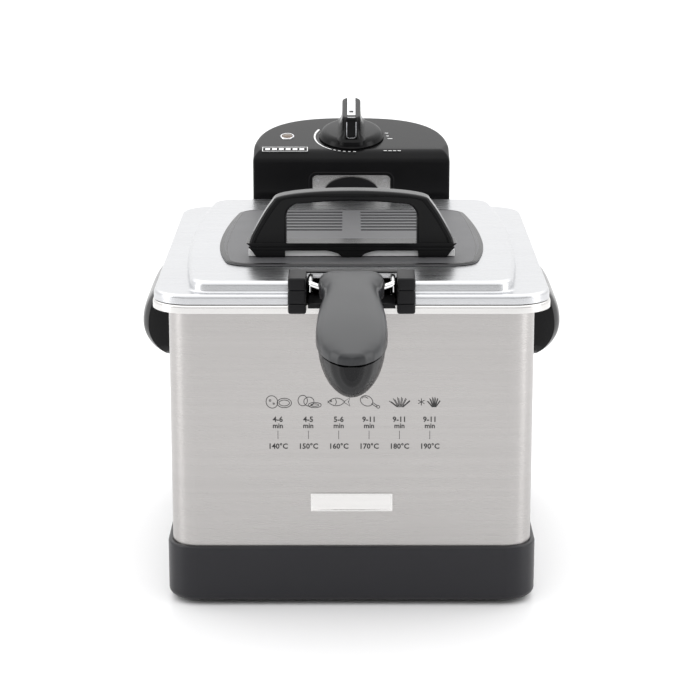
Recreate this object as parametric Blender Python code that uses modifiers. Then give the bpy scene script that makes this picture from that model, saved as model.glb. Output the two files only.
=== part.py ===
"""Deep fryer with a lift-out oil tank, a hang-on control head and a folding basket grip.

Units are metres, +Z is up and the front of the fryer looks along -Y. The parts are laid out
with Y = 0 on the front face of the steel housing. The empty "fryer_origin" then moves them so
that the world origin is at the middle of the footprint, on the surface that the feet stand on.
"""
import bpy
import bmesh
from math import cos, pi, radians, sin, tan
from mathutils import Matrix, Quaternion, Vector

# ---- driving dimensions ---------------------------------------------------------------------
GAP = 0.0003                    # clearance between pieces that touch
SHEET = 0.0009                  # steel sheet
WALL = 0.0025                   # moulded plastic wall

BODY_HALF_WIDTH = 0.1130        # steel housing
BODY_DEPTH = 0.2785
BODY_BOTTOM = 0.0305
BODY_TOP = 0.1900
BODY_CORNER = 0.0170

BASE_HALF_WIDTH = 0.1160        # moulded base that the housing stands in
BASE_BOTTOM = 0.0030
BASE_TOP = 0.0388
BASE_CORNER = 0.0200

RIM_HALF_WIDTH = 0.1225         # rolled rim of the oil tank
RIM_FRONT = -0.0090
RIM_REAR = 0.2875
RIM_BOTTOM = 0.1903
RIM_TOP = 0.1955
RIM_CORNER = 0.0240
TANK_HALF_WIDTH = 0.1015        # outside of the tank below its rim
TANK_FRONT = 0.0140
TANK_REAR = 0.2650
TANK_BOTTOM = 0.0600
TANK_CORNER = 0.0300

LID_HALF_WIDTH = 0.1218
LID_FRONT = -0.0080
LID_REAR = 0.2865
LID_BOTTOM = 0.1958
LID_STEP = 0.2018               # flat shoulder round the raised panel
LID_TOP = 0.2088
PANEL_HALF_WIDTH = 0.0985       # raised panel, at its front corners
PANEL_BOW = 0.0085              # how far its long sides bow outwards
PANEL_FRONT = -0.0030
PANEL_REAR = 0.2785
REAR_NOTCH_HALF_WIDTH = 0.0330  # opening in the lid for the heating element's bracket

HEAD_FRONT = 0.2945             # control head
HEAD_HALF_WIDTH = 0.0720
HEAD_DEPTH = 0.0635
HEAD_POWER = 2.7                # exponent of its rounded outline
HEAD_BOTTOM = 0.1000
HEAD_SEAM = 0.1994
HEAD_FRONT_TOP = 0.2397         # where the sloped panel would meet the front face
HEAD_SLOPE = radians(15.0)
HEAD_ROUND = 0.0075
RECESS_HALF_WIDTH = 0.0288      # opening in the head's front for the element bracket
RECESS_TOP = 0.2243
LAMP_PLACE = (-0.0475, 0.0000)  # on the sloped panel, from the knob's axis
GLAND_Z = 0.1240
RESET_Z = 0.1620
TONGUE_SCREW_HEIGHTS = (0.1250, 0.1700)

GUIDE_FRONT = BODY_DEPTH + GAP  # bracket that the head slides down into
GUIDE_TOP = 0.1860
TONGUE_FRONT = RIM_REAR + 0.0009  # clear of the tank's rim as the head is lifted
GUIDE_FLOOR = 0.0920
PIN_PLACE = (0.0200, HEAD_FRONT + 0.0140)
BRACKET_REAR = HEAD_FRONT + 0.0052
BRACKET_STRIP = TANK_REAR - 0.0085

KNOB_Y = 0.3225
KNOB_RADIUS = 0.0240
KNOB_SKIRT = 0.0062
KNOB_HEIGHT = 0.0232
FIN_HALF_WIDTH = 0.0068
FIN_HALF_LENGTH = 0.0200

ELEMENT_RADIUS = 0.0033         # sheathed heating element
ELEMENT_HEIGHT = 0.0725
LEG_Y = TANK_REAR - 0.0165
LEG_TOP = 0.2010

BASKET_HALF_WIDTH = 0.0920
BASKET_FRONT = 0.0270
BASKET_REAR = 0.2380
BASKET_BOTTOM = 0.0880
BASKET_TOP = 0.1780
BASKET_CORNER = 0.0240
ARM_RADIUS = 0.0019             # wires that carry the basket on its grip
ARM_X = 0.0250
ARM_Y = 0.0208

HINGE_Y = -0.0150               # grip hinge
HINGE_Z = 0.2070
BARREL_RADIUS = 0.0085
NECK_RISE = 0.0112                # height of the grip's neck above its hinge
BARREL_HALF_LENGTH = 0.0200
GRIP_TIP = -0.1225
GRIP_FALL = 0.20                # slope of the grip's back at its hinge
GRIP_CURVE = 0.35               # and how it steepens, per metre
GRIP_SEAM_TOP = 0.2000
GRIP_SEAM_FALL = 0.119
GRIP_WALL = 0.0022

NOTCH_HALF_WIDTH = 0.0275       # opening in the lid for the basket's wires
TRIM_HALF_WIDTH = 0.0385
TRIM_FRONT = -0.0150
TRIM_REAR = 0.0145
TRIM_BOTTOM = 0.1896
TRIM_TOP = 0.2160

PLATE_HALF_WIDTH = 0.0768       # black plate on the lid, at its corners
PLATE_BOW = 0.0094
PLATE_FRONT = 0.0428
PLATE_REAR = 0.2278
PLATE_TOP = 0.2103
SLOT_ROWS = 7                   # steam slots, in two columns
SLOT_PITCH = 0.0106
SLOT_FIRST = 0.1505
FILTER_FRONT = 0.1430           # odour filter below the slots
FILTER_REAR = 0.2240

HANDLE_FRONT = 0.0614           # lid handle
HANDLE_DEPTH = 0.0170
HANDLE_SCREW_Y = 0.0715
HANDLE_SCREW_X = 0.0540
HANDLE_BAR_TOP = 0.2197
HANDLE_BAR_BOTTOM = 0.2147

REAR_MOST = 0.3660              # rear end of the cord gland
CENTRE_SHIFT = -(GRIP_TIP + REAR_MOST) / 2.0

# ---- finishes: colour, roughness, metallic ---------------------------------------------------
FINISHES = {
    "brushed_steel": ((0.62, 0.60, 0.58), 0.34, 1.0),
    "polished_steel": ((0.78, 0.78, 0.78), 0.10, 1.0),
    "tank_steel": ((0.66, 0.65, 0.64), 0.25, 1.0),
    "gloss_black": ((0.018, 0.018, 0.019), 0.16, 0.0),
    "satin_black": ((0.030, 0.029, 0.034), 0.42, 0.0),
    "soft_grip": ((0.050, 0.052, 0.056), 0.38, 0.0),
    "rubber_black": ((0.020, 0.020, 0.020), 0.80, 0.0),
    "filter_grey": ((0.30, 0.31, 0.32), 0.90, 0.0),
    "bakelite": ((0.060, 0.035, 0.020), 0.55, 0.0),
    "copper": ((0.72, 0.38, 0.22), 0.30, 1.0),
    "element_sheath": ((0.20, 0.19, 0.18), 0.45, 1.0),
    "silver_inlay": ((0.75, 0.75, 0.77), 0.28, 1.0),
    "lamp_amber": ((0.90, 0.45, 0.10), 0.12, 0.0),
    "button_red": ((0.55, 0.04, 0.03), 0.35, 0.0),
}


# ---- scene, materials and small helpers ------------------------------------------------------
def clear_scene():
    for obj in list(bpy.data.objects):
        bpy.data.objects.remove(obj, do_unlink=True)


def new_collection(name):
    collection = bpy.data.collections.new(name)
    bpy.context.scene.collection.children.link(collection)
    return collection


clear_scene()
PARTS = new_collection("deep_fryer")
CUTTERS = new_collection("cutters")
ORIGIN = bpy.data.objects.new("fryer_origin", None)
ORIGIN.location = (0.0, CENTRE_SHIFT, 0.0)
PARTS.objects.link(ORIGIN)


def add_empty(name, location, tilt=0.0, parent=ORIGIN):
    """A reference frame, turned by tilt about X."""
    empty = bpy.data.objects.new(name, None)
    empty.location = location
    empty.rotation_euler = (tilt, 0.0, 0.0)
    empty.parent = parent
    PARTS.objects.link(empty)
    return empty


def material_for(name, finish):
    colour, roughness, metallic = FINISHES[finish]
    material = bpy.data.materials.new(name)
    material.use_nodes = True
    shader = material.node_tree.nodes["Principled BSDF"]
    shader.inputs["Base Color"].default_value = (*colour, 1.0)
    shader.inputs["Roughness"].default_value = roughness
    shader.inputs["Metallic"].default_value = metallic
    return material


def add_mesh(name, bm, finish, location=(0.0, 0.0, 0.0), parent=ORIGIN, smooth=True):
    """Turn a bmesh into a finished object. Without a finish it becomes a cutter."""
    bmesh.ops.recalc_face_normals(bm, faces=bm.faces)
    mesh = bpy.data.meshes.new(name)
    bm.to_mesh(mesh)
    bm.free()
    if smooth:
        mesh.shade_smooth()
        mesh.set_sharp_from_angle(angle=radians(35.0))
    return link_object(name, mesh, finish, location, parent)


def link_object(name, data, finish, location, parent):
    obj = bpy.data.objects.new(name, data)
    obj.location = location
    obj.parent = parent
    if finish is None:
        CUTTERS.objects.link(obj)
        obj.hide_render = True
        obj.display_type = "WIRE"
    else:
        PARTS.objects.link(obj)
        data.materials.append(material_for(name, finish))
    return obj


def add_boolean(obj, tool, operation="DIFFERENCE"):
    modifier = obj.modifiers.new(operation.lower(), "BOOLEAN")
    modifier.operation = operation
    modifier.solver = "EXACT"
    modifier.object = tool


def add_bevel(obj, width, segments=2, angle=40.0):
    modifier = obj.modifiers.new("edges", "BEVEL")
    modifier.width = width
    modifier.segments = segments
    modifier.limit_method = "ANGLE"
    modifier.angle_limit = radians(angle)


def box_between(name, low, high, finish=None, parent=ORIGIN, bevel=0.0, segments=2):
    """A box from its low corner to its high corner, with its origin at its middle."""
    bm = bmesh.new()
    size = Vector(high) - Vector(low)
    bmesh.ops.create_cube(bm, size=1.0, matrix=Matrix.Diagonal((*size, 1.0)))
    middle = (Vector(low) + Vector(high)) / 2.0
    obj = add_mesh(name, bm, finish, middle, parent, smooth=bevel > 0.0)
    if bevel > 0.0:
        add_bevel(obj, bevel, segments)
    return obj


AXIS_TURN = {
    "X": Matrix.Rotation(pi / 2.0, 4, "Y"),
    "Y": Matrix.Rotation(-pi / 2.0, 4, "X"),
    "Z": Matrix.Identity(4),
}


def rod(name, start, axis, length, radius, finish=None, parent=ORIGIN, sides=16):
    """A round rod from start, along +X, +Y or +Z."""
    bm = bmesh.new()
    shift = Matrix.Translation((0.0, 0.0, length / 2.0))
    bmesh.ops.create_cone(bm, cap_ends=True, segments=sides, radius1=radius, radius2=radius,
                          depth=length, matrix=AXIS_TURN[axis] @ shift)
    return add_mesh(name, bm, finish, start, parent)


def turned(name, profile, finish=None, location=(0.0, 0.0, 0.0), turn=(0.0, 0.0, 0.0),
           parent=ORIGIN, steps=24):
    """A turned piece: profile is (radius, height) from its top down its outer side."""
    bm = bmesh.new()
    verts = [bm.verts.new((radius, 0.0, height)) for radius, height in profile]
    for first, second in zip(verts, verts[1:]):
        bm.edges.new((first, second))
    mesh = bpy.data.meshes.new(name)
    bm.to_mesh(mesh)
    bm.free()
    obj = link_object(name, mesh, finish, location, parent)
    obj.rotation_euler = turn
    screw = obj.modifiers.new("turn", "SCREW")
    screw.steps = steps
    screw.render_steps = steps
    screw.use_merge_vertices = True
    screw.merge_threshold = 0.00001
    screw.use_smooth_shade = True
    return obj


def loft(name, rings, finish=None, location=(0.0, 0.0, 0.0), parent=ORIGIN, tube=False):
    """A skin through rings with equal numbers of points, each a list of (x, y, z).

    The first and last rings are closed with flat ends, or joined to each other as a tube.
    """
    bm = bmesh.new()
    loops = [[bm.verts.new(point) for point in ring] for ring in rings]
    pairs = list(zip(loops, loops[1:]))
    if tube:
        pairs.append((loops[-1], loops[0]))
    else:
        bm.faces.new(loops[0])
        bm.faces.new(loops[-1])
    for ring, following in pairs:
        for index in range(len(ring)):
            after = (index + 1) % len(ring)
            bm.faces.new((ring[index], ring[after], following[after], following[index]))
    return add_mesh(name, bm, finish, location, parent)


def prism(name, outline, low, high, finish=None, parent=ORIGIN, plane="XY", bevel=0.0, segments=2):
    """An outline in a plane, drawn out from low to high along the plane's normal."""
    place = {
        "XY": lambda a, b: (a, b, low),
        "XZ": lambda a, b: (a, low, b),
        "YZ": lambda a, b: (low, a, b),
    }[plane]
    along = {"XY": (0.0, 0.0, 1.0), "XZ": (0.0, 1.0, 0.0), "YZ": (1.0, 0.0, 0.0)}[plane]
    bm = bmesh.new()
    face = bm.faces.new([bm.verts.new(place(a, b)) for a, b in outline])
    drawn = bmesh.ops.extrude_face_region(bm, geom=[face])
    verts = [item for item in drawn["geom"] if isinstance(item, bmesh.types.BMVert)]
    bmesh.ops.translate(bm, verts=verts, vec=Vector(along) * (high - low))
    obj = add_mesh(name, bm, finish, (0.0, 0.0, 0.0), parent, smooth=bevel > 0.0)
    if bevel > 0.0:
        add_bevel(obj, bevel, segments)
    return obj


def rounded_ring(half_width, front, rear, corner, z, corner_steps=5, side_steps=1):
    """Points of a rectangle with round corners, anticlockwise from its front right corner."""
    points = []
    centres = [
        (half_width - corner, front + corner, -pi / 2.0),
        (half_width - corner, rear - corner, 0.0),
        (-half_width + corner, rear - corner, pi / 2.0),
        (-half_width + corner, front + corner, pi),
    ]
    for index, (cx, cy, start) in enumerate(centres):
        for step in range(corner_steps + 1):
            angle = start + step * pi / 2.0 / corner_steps
            points.append((cx + corner * cos(angle), cy + corner * sin(angle), z))
        nx, ny, next_start = centres[(index + 1) % 4]
        following = (nx + corner * cos(next_start), ny + corner * sin(next_start), z)
        last = points[-1]
        for step in range(1, side_steps):
            share = step / side_steps
            points.append((last[0] + (following[0] - last[0]) * share,
                           last[1] + (following[1] - last[1]) * share, z))
    return points


def filleted_path(corners, radius, steps=4):
    """The corner points of a wire with an arc of the given radius at each inner corner."""
    points = [Vector(corners[0])]
    for before, corner, after in zip(corners, corners[1:], corners[2:]):
        corner = Vector(corner)
        towards_before = (Vector(before) - corner).normalized()
        towards_after = (Vector(after) - corner).normalized()
        half_angle = towards_before.angle(towards_after) / 2.0
        setback = radius / tan(half_angle)
        centre = corner + (towards_before + towards_after).normalized() * (radius / sin(half_angle))
        start = corner + towards_before * setback - centre
        end = corner + towards_after * setback - centre
        turn = start.rotation_difference(end)
        for step in range(steps + 1):
            points.append(centre + Quaternion(turn.axis, turn.angle * step / steps) @ start)
    points.append(Vector(corners[-1]))
    return points


def wire(name, points, radius, finish, cyclic=False, radii=None, parent=ORIGIN, sides=2):
    """A round wire or tube through the points."""
    curve = bpy.data.curves.new(name, "CURVE")
    curve.dimensions = "3D"
    curve.bevel_depth = radius
    curve.bevel_resolution = sides
    curve.use_fill_caps = not cyclic
    spline = curve.splines.new("POLY")
    spline.points.add(len(points) - 1)
    for index, point in enumerate(points):
        spline.points[index].co = (*point, 1.0)
        spline.points[index].radius = 1.0 if radii is None else radii[index]
    spline.use_cyclic_u = cyclic
    spline.use_smooth = True
    return link_object(name, curve, finish, (0.0, 0.0, 0.0), parent)


# ---- housing ---------------------------------------------------------------------------------
FOOT_PLACES = {
    "foot_front_left": (-0.0990, 0.0180),
    "foot_front_right": (0.0990, 0.0180),
    "foot_rear_left": (-0.0990, BODY_DEPTH - 0.0180),
    "foot_rear_right": (0.0990, BODY_DEPTH - 0.0180),
}


def build_base_tray():
    outset = BASE_HALF_WIDTH - BODY_HALF_WIDTH
    front, rear = -outset, BODY_DEPTH + outset
    seat = BODY_HALF_WIDTH + GAP
    ledge = BODY_HALF_WIDTH - 0.0030
    rings = [
        rounded_ring(BASE_HALF_WIDTH - 0.0022, front + 0.0022, rear - 0.0022, 0.0178, BASE_BOTTOM),
        rounded_ring(BASE_HALF_WIDTH - 0.0008, front + 0.0008, rear - 0.0008, 0.0192, 0.0042),
        rounded_ring(BASE_HALF_WIDTH, front, rear, BASE_CORNER, 0.0070),
        rounded_ring(BASE_HALF_WIDTH, front, rear, BASE_CORNER, BASE_TOP - 0.0010),
        rounded_ring(BASE_HALF_WIDTH - 0.0010, front + 0.0010, rear - 0.0010, 0.0190, BASE_TOP),
        rounded_ring(seat, -GAP, BODY_DEPTH + GAP, BODY_CORNER + GAP, BASE_TOP),
        rounded_ring(seat, -GAP, BODY_DEPTH + GAP, BODY_CORNER + GAP, BODY_BOTTOM - GAP),
        rounded_ring(ledge, 0.0030, BODY_DEPTH - 0.0030, 0.0140, BODY_BOTTOM - GAP),
        rounded_ring(ledge, 0.0030, BODY_DEPTH - 0.0030, 0.0140, BASE_BOTTOM + 0.0030),
    ]
    tray = loft("base_tray", rings, "satin_black")
    for name, (x, y) in FOOT_PLACES.items():
        add_boolean(tray, rod(name + "_hole", (x, y, BASE_BOTTOM - 0.001), "Z", 0.006, 0.0033))


def build_feet():
    profile = [(0.0, 0.0066), (0.0030, 0.0066), (0.0030, 0.0027), (0.0085, 0.0027),
               (0.0090, 0.0022), (0.0086, 0.0), (0.0, 0.0)]
    for name, (x, y) in FOOT_PLACES.items():
        turned(name, profile, "rubber_black", (x, y, 0.0), steps=20)


HANDLE_SCREW_PLACES = [(0.1080, 0.1640), (0.1700, 0.1640)]      # (y, z) on either side
BRACKET_SCREW_PLACES = [(-0.0300, 0.1180), (0.0300, 0.1180), (-0.0300, 0.1700), (0.0300, 0.1700)]


def build_housing_shell():
    inner = BODY_HALF_WIDTH - SHEET
    lip = BODY_HALF_WIDTH - 0.0070
    rings = [
        rounded_ring(BODY_HALF_WIDTH, 0.0, BODY_DEPTH, BODY_CORNER, BODY_BOTTOM),
        rounded_ring(BODY_HALF_WIDTH, 0.0, BODY_DEPTH, BODY_CORNER, BODY_TOP - 0.0015),
        rounded_ring(BODY_HALF_WIDTH - 0.0015, 0.0015, BODY_DEPTH - 0.0015, 0.0155, BODY_TOP),
        rounded_ring(lip, 0.0070, BODY_DEPTH - 0.0070, 0.0100, BODY_TOP),
        rounded_ring(lip, 0.0070, BODY_DEPTH - 0.0070, 0.0100, BODY_TOP - SHEET),
        rounded_ring(inner, SHEET, BODY_DEPTH - SHEET, BODY_CORNER - SHEET, BODY_TOP - 0.0017),
        rounded_ring(inner, SHEET, BODY_DEPTH - SHEET, BODY_CORNER - SHEET, BODY_BOTTOM),
    ]
    shell = loft("housing_shell", rings, "brushed_steel", tube=True)
    for index, (y, z) in enumerate(HANDLE_SCREW_PLACES):
        add_boolean(shell, rod(f"handle_screw_way_{index}", (-0.120, y, z), "X", 0.240, 0.0022,
                               sides=12))
    for index, (x, z) in enumerate(BRACKET_SCREW_PLACES):
        hole = rod(f"bracket_screw_way_{index}", (x, BODY_DEPTH - 0.005, z), "Y", 0.010, 0.0022, sides=12)
        add_boolean(shell, hole)


def side_handle_section(reach, drop):
    """The handle's outline across its length, outwards in X and up in Z."""
    wall = BODY_HALF_WIDTH + GAP
    lean = (BODY_TOP - 0.0015) - 0.1600
    outer = []
    for step in range(9):
        angle = pi / 2.0 - step * (pi / 2.0 + 1.15) / 8
        if angle >= 0.0:
            outer.append((wall + reach * cos(angle), 0.1600 + lean * sin(angle)))
        else:
            outer.append((wall + reach * cos(angle), 0.1600 + drop * sin(angle)))
    foot = outer[-1]
    return [(wall, 0.1600 + lean)] + outer[1:] + [(wall + 0.35 * (foot[0] - wall), foot[1] - 0.0012),
                                                  (wall, foot[1])]


def build_side_handle(name, side):
    """A moulded lug below the rim that the fingers reach into from underneath."""
    stations = [
        (0.0820, 0.55), (0.0845, 0.82), (0.0895, 0.95), (0.0970, 1.0),
        (0.1810, 1.0), (0.1885, 0.95), (0.1935, 0.82), (0.1960, 0.55),
    ]
    rings = []
    for y, share in stations:
        section = side_handle_section(0.0242 * share, 0.0215 * (0.7 + 0.3 * share))
        rings.append([(side * x, y, z) for x, z in section])
    handle = loft(name, rings, "gloss_black")
    near = min(side * 0.1190, side * 0.1305)
    pocket = box_between(name + "_pocket", (near, 0.0940, 0.1300), (near + 0.0115, 0.1840, 0.1690))
    add_boolean(handle, pocket)
    for index, (y, z) in enumerate(HANDLE_SCREW_PLACES):
        start = 0.1120 if side > 0 else -0.1176
        add_boolean(handle, rod(f"{name}_screw_hole_{index}", (start, y, z), "X", 0.0056, 0.0020,
                                sides=12))


def screw_body(name, tip, direction, length, finish, shank=0.0016, head=0.0036, head_height=0.0020):
    """A screw whose tip points along direction, one of +X, -X, +Y, -Y, +Z or -Z."""
    profile = [(0.0, 0.0), (shank, 0.0), (shank, -length), (head, -length),
               (head, -length - head_height), (0.0, -length - head_height)]
    bm = bmesh.new()
    verts = [bm.verts.new((radius, 0.0, height)) for radius, height in profile]
    edges = [bm.edges.new(pair) for pair in zip(verts, verts[1:])]
    bmesh.ops.spin(bm, geom=verts + edges, cent=(0.0, 0.0, 0.0), axis=(0.0, 0.0, 1.0),
                   angle=2.0 * pi, steps=12, use_merge=True)
    bmesh.ops.remove_doubles(bm, verts=bm.verts, dist=0.00001)
    turn = Vector((0.0, 0.0, 1.0)).rotation_difference(Vector(direction)).to_matrix().to_4x4()
    bmesh.ops.transform(bm, matrix=Matrix.Translation(tip) @ turn, verts=bm.verts)
    return add_mesh(name, bm, finish)


def build_screws(name, tips, direction, length, finish="polished_steel"):
    for index, tip in enumerate(tips, start=1):
        screw_body(f"{name}_{index}", tip, direction, length, finish)


def build_housing_screws():
    inside = BODY_HALF_WIDTH - SHEET - GAP
    for side, label in ((-1.0, "left"), (1.0, "right")):
        tips = [(side * (inside + 0.0050), y, z) for y, z in HANDLE_SCREW_PLACES]
        build_screws(f"side_handle_screw_{label}", tips, (side, 0.0, 0.0), 0.0050)
    rear = BODY_DEPTH - SHEET - GAP
    tips = [(x, rear + 0.0032, z) for x, z in BRACKET_SCREW_PLACES]
    build_screws("guide_bracket_screw", tips, (0.0, 1.0, 0.0), 0.0032)


def build_guide_bracket():
    """The channel on the back of the housing that the control head slides down into."""
    half = 0.0540
    lip = 0.0460
    back = TONGUE_FRONT - GAP
    lip_start = HEAD_FRONT - 0.0028
    lip_end = HEAD_FRONT - 0.0006
    outline = [(-half, GUIDE_FRONT), (half, GUIDE_FRONT), (half, lip_end), (lip, lip_end),
               (lip, lip_start), (half - 0.0034, lip_start), (half - 0.0034, back),
               (-half + 0.0034, back), (-half + 0.0034, lip_start), (-lip, lip_start),
               (-lip, lip_end), (-half, lip_end)]
    bracket = prism("guide_bracket", outline, GUIDE_FLOOR + 0.0020, GUIDE_TOP, "satin_black")
    floor = box_between("guide_floor", (-half, GUIDE_FRONT, GUIDE_FLOOR),
                        (half, HEAD_FRONT + 0.0220, GUIDE_FLOOR + 0.0040))
    add_boolean(bracket, floor, "UNION")
    for index, (x, z) in enumerate(BRACKET_SCREW_PLACES):
        hole = rod(f"bracket_screw_hole_{index}", (x, GUIDE_FRONT - 0.001, z), "Y", 0.0034, 0.0019, sides=12)
        add_boolean(bracket, hole)
    peg_hole = rod("interlock_pin_hole", (*PIN_PLACE, GUIDE_FLOOR + 0.0015), "Z", 0.004, 0.0028, sides=12)
    add_boolean(bracket, peg_hole)


def build_interlock_pin():
    profile = [(0.0, 0.1085), (0.0012, 0.1085), (0.0025, 0.1060), (0.0025, GUIDE_FLOOR + 0.0018),
               (0.0, GUIDE_FLOOR + 0.0018)]
    turned("interlock_pin", profile, "satin_black", (*PIN_PLACE, 0.0), steps=16)


# ---- oil tank --------------------------------------------------------------------------------
def build_oil_tank():
    inside = TANK_HALF_WIDTH - SHEET

    def wall(half_width, z, corner):
        inset = TANK_HALF_WIDTH - half_width
        return rounded_ring(half_width, TANK_FRONT + inset, TANK_REAR - inset, corner, z)

    def rim(half_width, z, corner):
        inset = RIM_HALF_WIDTH - half_width
        return rounded_ring(half_width, RIM_FRONT + inset, RIM_REAR - inset, corner, z)

    rings = [
        wall(inside - 0.0150, TANK_BOTTOM + SHEET, 0.0170),
        wall(inside - 0.0060, TANK_BOTTOM + SHEET + 0.0035, 0.0240),
        wall(inside - 0.0010, TANK_BOTTOM + SHEET + 0.0130, 0.0290),
        wall(inside, 0.0900, TANK_CORNER),
        wall(inside, RIM_TOP - 0.0020, TANK_CORNER),
        wall(inside + 0.0010, RIM_TOP - 0.0004, TANK_CORNER),
        wall(inside + 0.0026, RIM_TOP, TANK_CORNER),
        rim(RIM_HALF_WIDTH - 0.0014, RIM_TOP, RIM_CORNER - 0.0014),
        rim(RIM_HALF_WIDTH - 0.0004, RIM_TOP - 0.0005, RIM_CORNER - 0.0004),
        rim(RIM_HALF_WIDTH, RIM_TOP - 0.0016, RIM_CORNER),
        rim(RIM_HALF_WIDTH, RIM_BOTTOM, RIM_CORNER),
        rim(RIM_HALF_WIDTH - SHEET, RIM_BOTTOM, RIM_CORNER - SHEET),
        rim(RIM_HALF_WIDTH - SHEET, RIM_TOP - SHEET - 0.0008, RIM_CORNER - SHEET),
        rim(RIM_HALF_WIDTH - SHEET - 0.0010, RIM_TOP - SHEET, RIM_CORNER - 0.0019),
        wall(TANK_HALF_WIDTH + 0.0010, RIM_TOP - SHEET, TANK_CORNER + 0.0010),
        wall(TANK_HALF_WIDTH, RIM_TOP - SHEET - 0.0010, TANK_CORNER),
        wall(TANK_HALF_WIDTH, 0.0900, TANK_CORNER),
        wall(TANK_HALF_WIDTH - 0.0010, TANK_BOTTOM + 0.0130, 0.0290),
        wall(TANK_HALF_WIDTH - 0.0060, TANK_BOTTOM + 0.0032, 0.0240),
        wall(TANK_HALF_WIDTH - 0.0150, TANK_BOTTOM, 0.0170),
    ]
    loft("oil_tank", rings, "tank_steel")


def build_rim_guard():
    """A moulded saddle on the tank's rim where the basket's wires cross it."""
    front = RIM_FRONT - GAP
    outline = [(front - 0.0024, 0.1942), (front, 0.1942), (front, RIM_TOP + GAP),
               (0.0135, RIM_TOP + GAP), (0.0135, 0.1972), (front - 0.0014, 0.1972),
               (front - 0.0024, 0.1962)]
    prism("rim_guard", outline, -0.0265, 0.0265, "satin_black", plane="YZ")


# ---- lid -------------------------------------------------------------------------------------
LID_SIDE_STEPS = 8


def lid_ring(inset, z, corner):
    return rounded_ring(LID_HALF_WIDTH - inset, LID_FRONT + inset, LID_REAR - inset, corner, z,
                        side_steps=LID_SIDE_STEPS)


def panel_ring(inset, z):
    """Outline of the raised panel, whose long sides bow outwards."""
    middle = (PANEL_FRONT + PANEL_REAR) / 2.0
    half_length = (PANEL_REAR - PANEL_FRONT) / 2.0 - inset
    flat = rounded_ring(PANEL_HALF_WIDTH - inset, PANEL_FRONT + inset, PANEL_REAR - inset, 0.0120, z,
                        side_steps=LID_SIDE_STEPS)
    bowed = []
    for x, y, height in flat:
        share = (y - middle) / half_length
        bowed.append((x * (1.0 + (1.0 - share * share) * PANEL_BOW / PANEL_HALF_WIDTH), y, height))
    return bowed


def build_lid_panel():
    rings = [
        panel_ring(0.0046, LID_TOP),
        panel_ring(0.0028, LID_TOP - 0.0006),
        panel_ring(0.0014, LID_TOP - 0.0022),
        panel_ring(0.0006, LID_STEP + 0.0014),
        panel_ring(-0.0008, LID_STEP),
        lid_ring(0.0016, LID_STEP, 0.0214),
        lid_ring(0.0004, LID_STEP - 0.0006, 0.0226),
        lid_ring(0.0, LID_STEP - 0.0018, 0.0230),
        lid_ring(0.0, LID_BOTTOM, 0.0230),
        lid_ring(SHEET, LID_BOTTOM, 0.0230 - SHEET),
        lid_ring(SHEET, LID_STEP - SHEET - 0.0010, 0.0230 - SHEET),
        lid_ring(0.0022, LID_STEP - SHEET, 0.0208),
        panel_ring(-0.0004, LID_STEP - SHEET),
        panel_ring(0.0015, LID_STEP + 0.0010),
        panel_ring(0.0024, LID_TOP - 0.0030),
        panel_ring(0.0050, LID_TOP - SHEET),
    ]
    lid = loft("lid_panel", rings, "brushed_steel")
    add_boolean(lid, box_between("lid_front_notch", (-TRIM_HALF_WIDTH - GAP, LID_FRONT - 0.01, 0.19),
                                 (TRIM_HALF_WIDTH + GAP, TRIM_REAR + GAP, 0.22)))
    add_boolean(lid, box_between("lid_rear_notch", (-REAR_NOTCH_HALF_WIDTH, TANK_REAR - 0.0050, 0.19),
                                 (REAR_NOTCH_HALF_WIDTH, LID_REAR + 0.01, LID_TOP - 0.0020)))
    add_boolean(lid, box_between("lid_vent_opening", (-0.0495, FILTER_FRONT + 0.0050, 0.20),
                                 (0.0495, FILTER_REAR - 0.0050, 0.22)))
    for index, x in enumerate((-HANDLE_SCREW_X, HANDLE_SCREW_X)):
        add_boolean(lid, rod(f"lid_screw_way_{index}", (x, HANDLE_SCREW_Y, 0.20), "Z", 0.02, 0.0022,
                             sides=12))


def plate_ring(inset, z):
    """Outline of the black plate: straight ends, soft corners and sides that bow outwards."""
    widest = PLATE_FRONT + 0.4 * (PLATE_REAR - PLATE_FRONT)
    flat = rounded_ring(PLATE_HALF_WIDTH - inset, PLATE_FRONT + inset, PLATE_REAR - inset,
                        0.0120 - inset, z, side_steps=10)
    bowed = []
    for x, y, height in flat:
        reach = (PLATE_REAR if y > widest else PLATE_FRONT) - widest
        share = (y - widest) / reach
        bowed.append((x * (1.0 + (1.0 - share * share) * PLATE_BOW / PLATE_HALF_WIDTH), y, height))
    return bowed


def build_vent_plate():
    rings = [
        plate_ring(0.0035, PLATE_TOP),
        plate_ring(0.0012, LID_TOP + GAP + 0.0006),
        plate_ring(0.0, LID_TOP + GAP),
        plate_ring(0.0060, LID_TOP + GAP),
    ]
    plate = loft("vent_plate", rings, "gloss_black")
    for row in range(SLOT_ROWS):
        y = SLOT_FIRST + row * SLOT_PITCH
        for column, (start, end) in enumerate(((-0.0480, -0.0062), (0.0062, 0.0480))):
            add_boolean(plate, box_between(f"vent_slot_{row}_{column}", (start, y, 0.20),
                                           (end, y + 0.0036, 0.22)))
    for index, x in enumerate((-HANDLE_SCREW_X, HANDLE_SCREW_X)):
        add_boolean(plate, rod(f"plate_screw_way_{index}", (x, HANDLE_SCREW_Y, 0.20), "Z", 0.02, 0.0022,
                               sides=12))


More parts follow.
